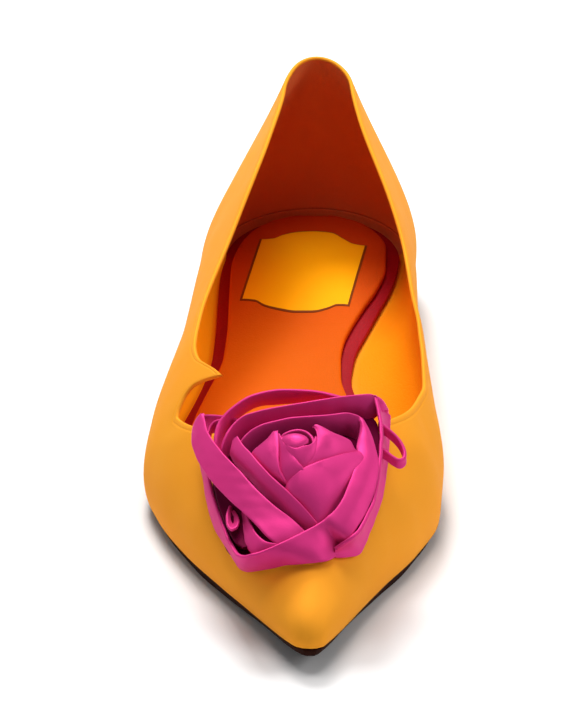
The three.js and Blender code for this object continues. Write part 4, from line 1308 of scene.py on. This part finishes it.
def folded_strip(index, rows, bow, thick, across=11):
    """A strip of satin folded lengthwise: closed, thicker along its rolled edges, a little bowed and uneven."""
    rows = np.asarray(rows, float)
    rows = rows.copy()
    rows[:, [1, 4]] -= FEATHER_LENGTH / 2
    path = smooth_path(rows, 0.5)
    a, b = path[:, :3], path[:, 3:]
    width = np.linalg.norm(b - a, axis=1)
    w = (b - a) / np.maximum(width, 1e-6)[:, None]
    along = np.gradient((a + b) / 2, axis=0)
    along = unit(along - w * np.sum(along * w, 1)[:, None])
    normal = np.cross(w, along)
    # edges run inside the traced outline by the radius of the roll
    roll = np.minimum(thick / 2, width * 0.45)
    length = np.concatenate([[0], np.cumsum(np.linalg.norm(np.diff((a + b) / 2, axis=0), axis=1))])
    ease = np.cos(np.linspace(np.pi, 0, across)) / 2 + 0.5
    inner = np.maximum(width - 2 * roll, 1e-3)
    d = roll[:, None] + inner[:, None] * ease[None]  # distance from edge a
    centre = a[:, None] + w[:, None] * d[..., None]
    n = np.repeat(normal[:, None], across, 1)
    # which way the seen face points
    to_eye = unit(EYE_SIDE)
    facing = np.sign(np.sum(normal * to_eye, 1).mean()) or 1.0
    shape = 4 * ease * (1 - ease)
    uneven = waves(index, 9, 5, 16)(length[:, None], d)
    lift = facing * bow * shape[None] * np.minimum(1, width / 6)[:, None] + 0.07 * uneven * np.minimum(1, inner / 3)[:, None]
    centre = centre + n * lift[..., None]
    # the true normal of the bowed sheet
    du = np.gradient(centre, axis=0)
    dv = np.gradient(centre, axis=1)
    n2 = unit(np.cross(dv, du))
    n2 *= np.sign(np.sum(n2 * n, 2))[..., None]
    rim = np.exp(-((np.minimum(d - roll[:, None], inner[:, None] + roll[:, None] - d) / 0.9) ** 2))
    half = roll[:, None] * (0.74 + 0.26 * rim)
    top, bottom = centre + n2 * half[..., None], centre - n2 * half[..., None]

    def roll_edge(i, out):
        phi = np.linspace(0, np.pi, 7)[1:-1]
        return (
            centre[:, i][:, None]
            + half[:, i][:, None, None] * np.cos(phi)[None, :, None] * n2[:, i][:, None]
            + half[:, i][:, None, None] * np.sin(phi)[None, :, None] * out[:, None]
        )

    loops = np.concatenate([top, roll_edge(-1, w), bottom[:, ::-1], roll_edge(0, -w)[:, ::-1]], 1)
    m, k = loops.shape[:2]
    faces = [grid_faces(m, k, False, True)]
    for i, turn in ((0, 1), (m - 1, -1)):
        ring = i * k + np.arange(k)
        half_n = k // 2
        j = np.arange(half_n - 1 if k % 2 == 0 else half_n - 1)
        quad = np.stack([ring[j], ring[j + 1], ring[k - 2 - j], ring[k - 1 - j]], -1)
        faces.append(quad[:, ::turn])
    faces = np.concatenate(faces)
    uv = np.stack(
        [
            np.broadcast_to(length[:, None], (m, k)),
            np.concatenate([d, np.repeat(d[:, -1:], 5, 1), d[:, ::-1], np.repeat(d[:, :1], 5, 1)], 1),
        ],
        -1,
    ) / 1000
    return loops.reshape(-1, 3), outward(loops, faces), uv.reshape(-1, 2)


for index, (name, node, bow, thick, rows) in enumerate(STRIPS):
    pts, faces, uv = folded_strip(index + 11, rows, bow, thick)
    # strips named floor take the dark satin of painted shade
    obj = make("rose_" + name if not name.startswith("petal") else name, pts, faces, [ROSE_PAINTED_SHADE if "floor" in name else ROSE], None, True, None, uv)
    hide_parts(node)
    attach(obj, "root")


CORE_RIM = np.array([
    [-16, 18.6],
    [4, 19.8],
    [20, 20.0],
    [45, 18.5],
    [70, 16.5],
    [90, 15.5],
    [120, 16.5],
    [138, 18.5],
    [146, 24.3],
    [152, 25.8],
    [160, 24.4],
    [170, 22.6],
    [179, 21.6],
    [193, 20.9],
    [208, 21.0],
    [222, 21.4],
    [232, 21.5],
    [253, 23.3],
    [273, 24.8],
    [293, 23.9],
    [308, 21.9],
    [322, 20.0],
    [344, 18.6],
    [364, 19.8],
])  # angle in degrees and radius of the backing, from (-3, 47)


def core():
    """The wound foot of the rose, under the petals, and the backing that it is sewn to, in the dark satin that paints
    the shade under the rose.
    """
    rings, spokes = 16, 72
    r = np.linspace(0, 1, rings + 1)[1:][:, None]
    a = (np.arange(spokes) / spokes * 2 * np.pi)[None]
    rim = np.interp(np.degrees(a), CORE_RIM[:, 0], CORE_RIM[:, 1])
    x = -3.0 + rim * r * np.cos(a)
    v = 47.0 + rim * r * np.sin(a)
    ground = vamp_top(x, v - FEATHER_LENGTH / 2)
    plane = 33 + 0.38 * (v - 45) - 0.006 * (x + 3) ** 2
    mound = plane + 7.0 - 16 * r**2.4
    z = np.maximum(ground + 1.7, mound)
    low = ground + 0.5
    top = np.stack([x, v - FEATHER_LENGTH / 2, z], -1)
    base = np.stack([x, v - FEATHER_LENGTH / 2, low], -1)[::-1]
    pts = np.concatenate([top, base]).reshape(-1, 3)
    faces = list(map(tuple, grid_faces(2 * rings, spokes, False, True)))
    faces.append(tuple(range(spokes)))
    last_ring = (2 * rings - 1) * spokes
    faces.append(tuple(range(last_ring, last_ring + spokes))[::-1])
    return pts, [f[::-1] for f in faces]


pts, faces = core()
obj = make("rose_core", pts, faces, [ROSE_PAINTED_SHADE], None, True, None, np.zeros((len(pts), 2)))
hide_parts("rose_petals")
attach(obj, "root")

# ---- camera ------------------------------------------------------------------------------------------------------
CAMERA = dict(azimuth=-1.11, elevation=25.92, roll=0.642, distance=1994.6, scale=2.82, u=171.0, v=354.9)
ENLARGE = 1.3  # the shoe is shown this much larger than in the photograph's frame


def photo_camera():
    a, e, r = (math.radians(CAMERA[k]) for k in ("azimuth", "elevation", "roll"))
    back = np.array([math.sin(a) * math.cos(e), -math.cos(a) * math.cos(e), math.sin(e)])
    f = -back
    right = np.cross(f, [0, 0, 1])
    right /= np.linalg.norm(right)
    up = np.cross(right, f)
    rows = np.array(
        [math.cos(r) * right + math.sin(r) * up, -math.sin(r) * right + math.cos(r) * up, f]
    )
    flen = CAMERA["scale"] * CAMERA["distance"]
    ref = np.array([0, 0, 20.0])
    t = np.array(
        [
            (CAMERA["u"] - 293.5) / flen * CAMERA["distance"],
            -(CAMERA["v"] - 352.0) / flen * CAMERA["distance"],
            CAMERA["distance"],
        ]
    )
    return ref - rows.T @ t, rows, flen


eye, cam_rows, flen = photo_camera()
aim_px = np.array([(156.5 - 293.5) / flen, -(327.0 - 352.0) / flen, 1.0])  # middle of the shoe in the photograph
aim = cam_rows.T @ aim_px
aim /= np.linalg.norm(aim)
# turn the camera the least way onto the shoe's middle
rot = Vector(cam_rows[2]).rotation_difference(Vector(aim)).to_matrix()
right = rot @ Vector(cam_rows[0])
upv = rot @ Vector(cam_rows[1])
fwd = rot @ Vector(cam_rows[2])
cam_data = bpy.data.cameras.new("camera")
cam = bpy.data.objects.new("camera", cam_data)
bpy.context.scene.collection.objects.link(cam)
cam.matrix_world = Matrix.Translation(Vector(to_frame(eye))) @ Matrix(
    [[right[k], upv[k], -fwd[k], 0] for k in range(3)] + [[0, 0, 0, 1]]
)
cam_data.sensor_fit = "AUTO"
cam_data.sensor_width = 36.0
cam_data.lens = 36.0 * flen * ENLARGE / 704
cam_data.clip_start, cam_data.clip_end = 0.05, 20
bpy.context.scene.camera = cam

# ---- floor and light ---------------------------------------------------------------------------------------------
n = Nodes("floor")
n.bsdf.inputs["Base Color"].default_value = (0.86, 0.855, 0.85, 1)
n.bsdf.inputs["Roughness"].default_value = 0.75
mesh = bpy.data.meshes.new("floor")
mesh.from_pydata([(-6, -6, 0), (6, -6, 0), (6, 9, 0), (-6, 9, 0)], [], [(0, 1, 2, 3)])
mesh.materials.append(n.mat)
floor = bpy.data.objects.new("floor", mesh)
bpy.context.scene.collection.objects.link(floor)


def area(name, place, aim_at, size, power, colour=(1, 1, 1)):
    data = bpy.data.lights.new(name, "AREA")
    data.shape = "RECTANGLE"
    data.size, data.size_y = size
    data.energy = power
    data.color = colour
    obj = bpy.data.objects.new(name, data)
    bpy.context.scene.collection.objects.link(obj)
    obj.location = place
    obj.rotation_mode = "QUATERNION"
    obj.rotation_quaternion = (Vector(aim_at) - Vector(place)).to_track_quat("-Z", "Y")
    return obj


area("key", (-0.06, 0.08, 1.35), (0, 0, 0.03), (0.8, 0.8), 11)
area("rear", (-0.16, 0.66, 1.05), (0, 0, 0.03), (0.34, 0.34), 11)
area("side_left", (-1.2, 0.1, 0.5), (0, 0, 0.03), (0.8, 0.5), 1.2)
area("side_right", (1.1, -0.1, 0.7), (0, 0, 0.03), (0.8, 0.5), 5.0)
bpy.context.scene.view_settings.view_transform = "Standard"  # colours as they are
world = bpy.data.worlds.new("world")
world.use_nodes = True
world.node_tree.nodes["Background"].inputs[0].default_value = (0.95, 0.97, 1.0, 1)
world.node_tree.nodes["Background"].inputs[1].default_value = 0.18
bpy.context.scene.world = world
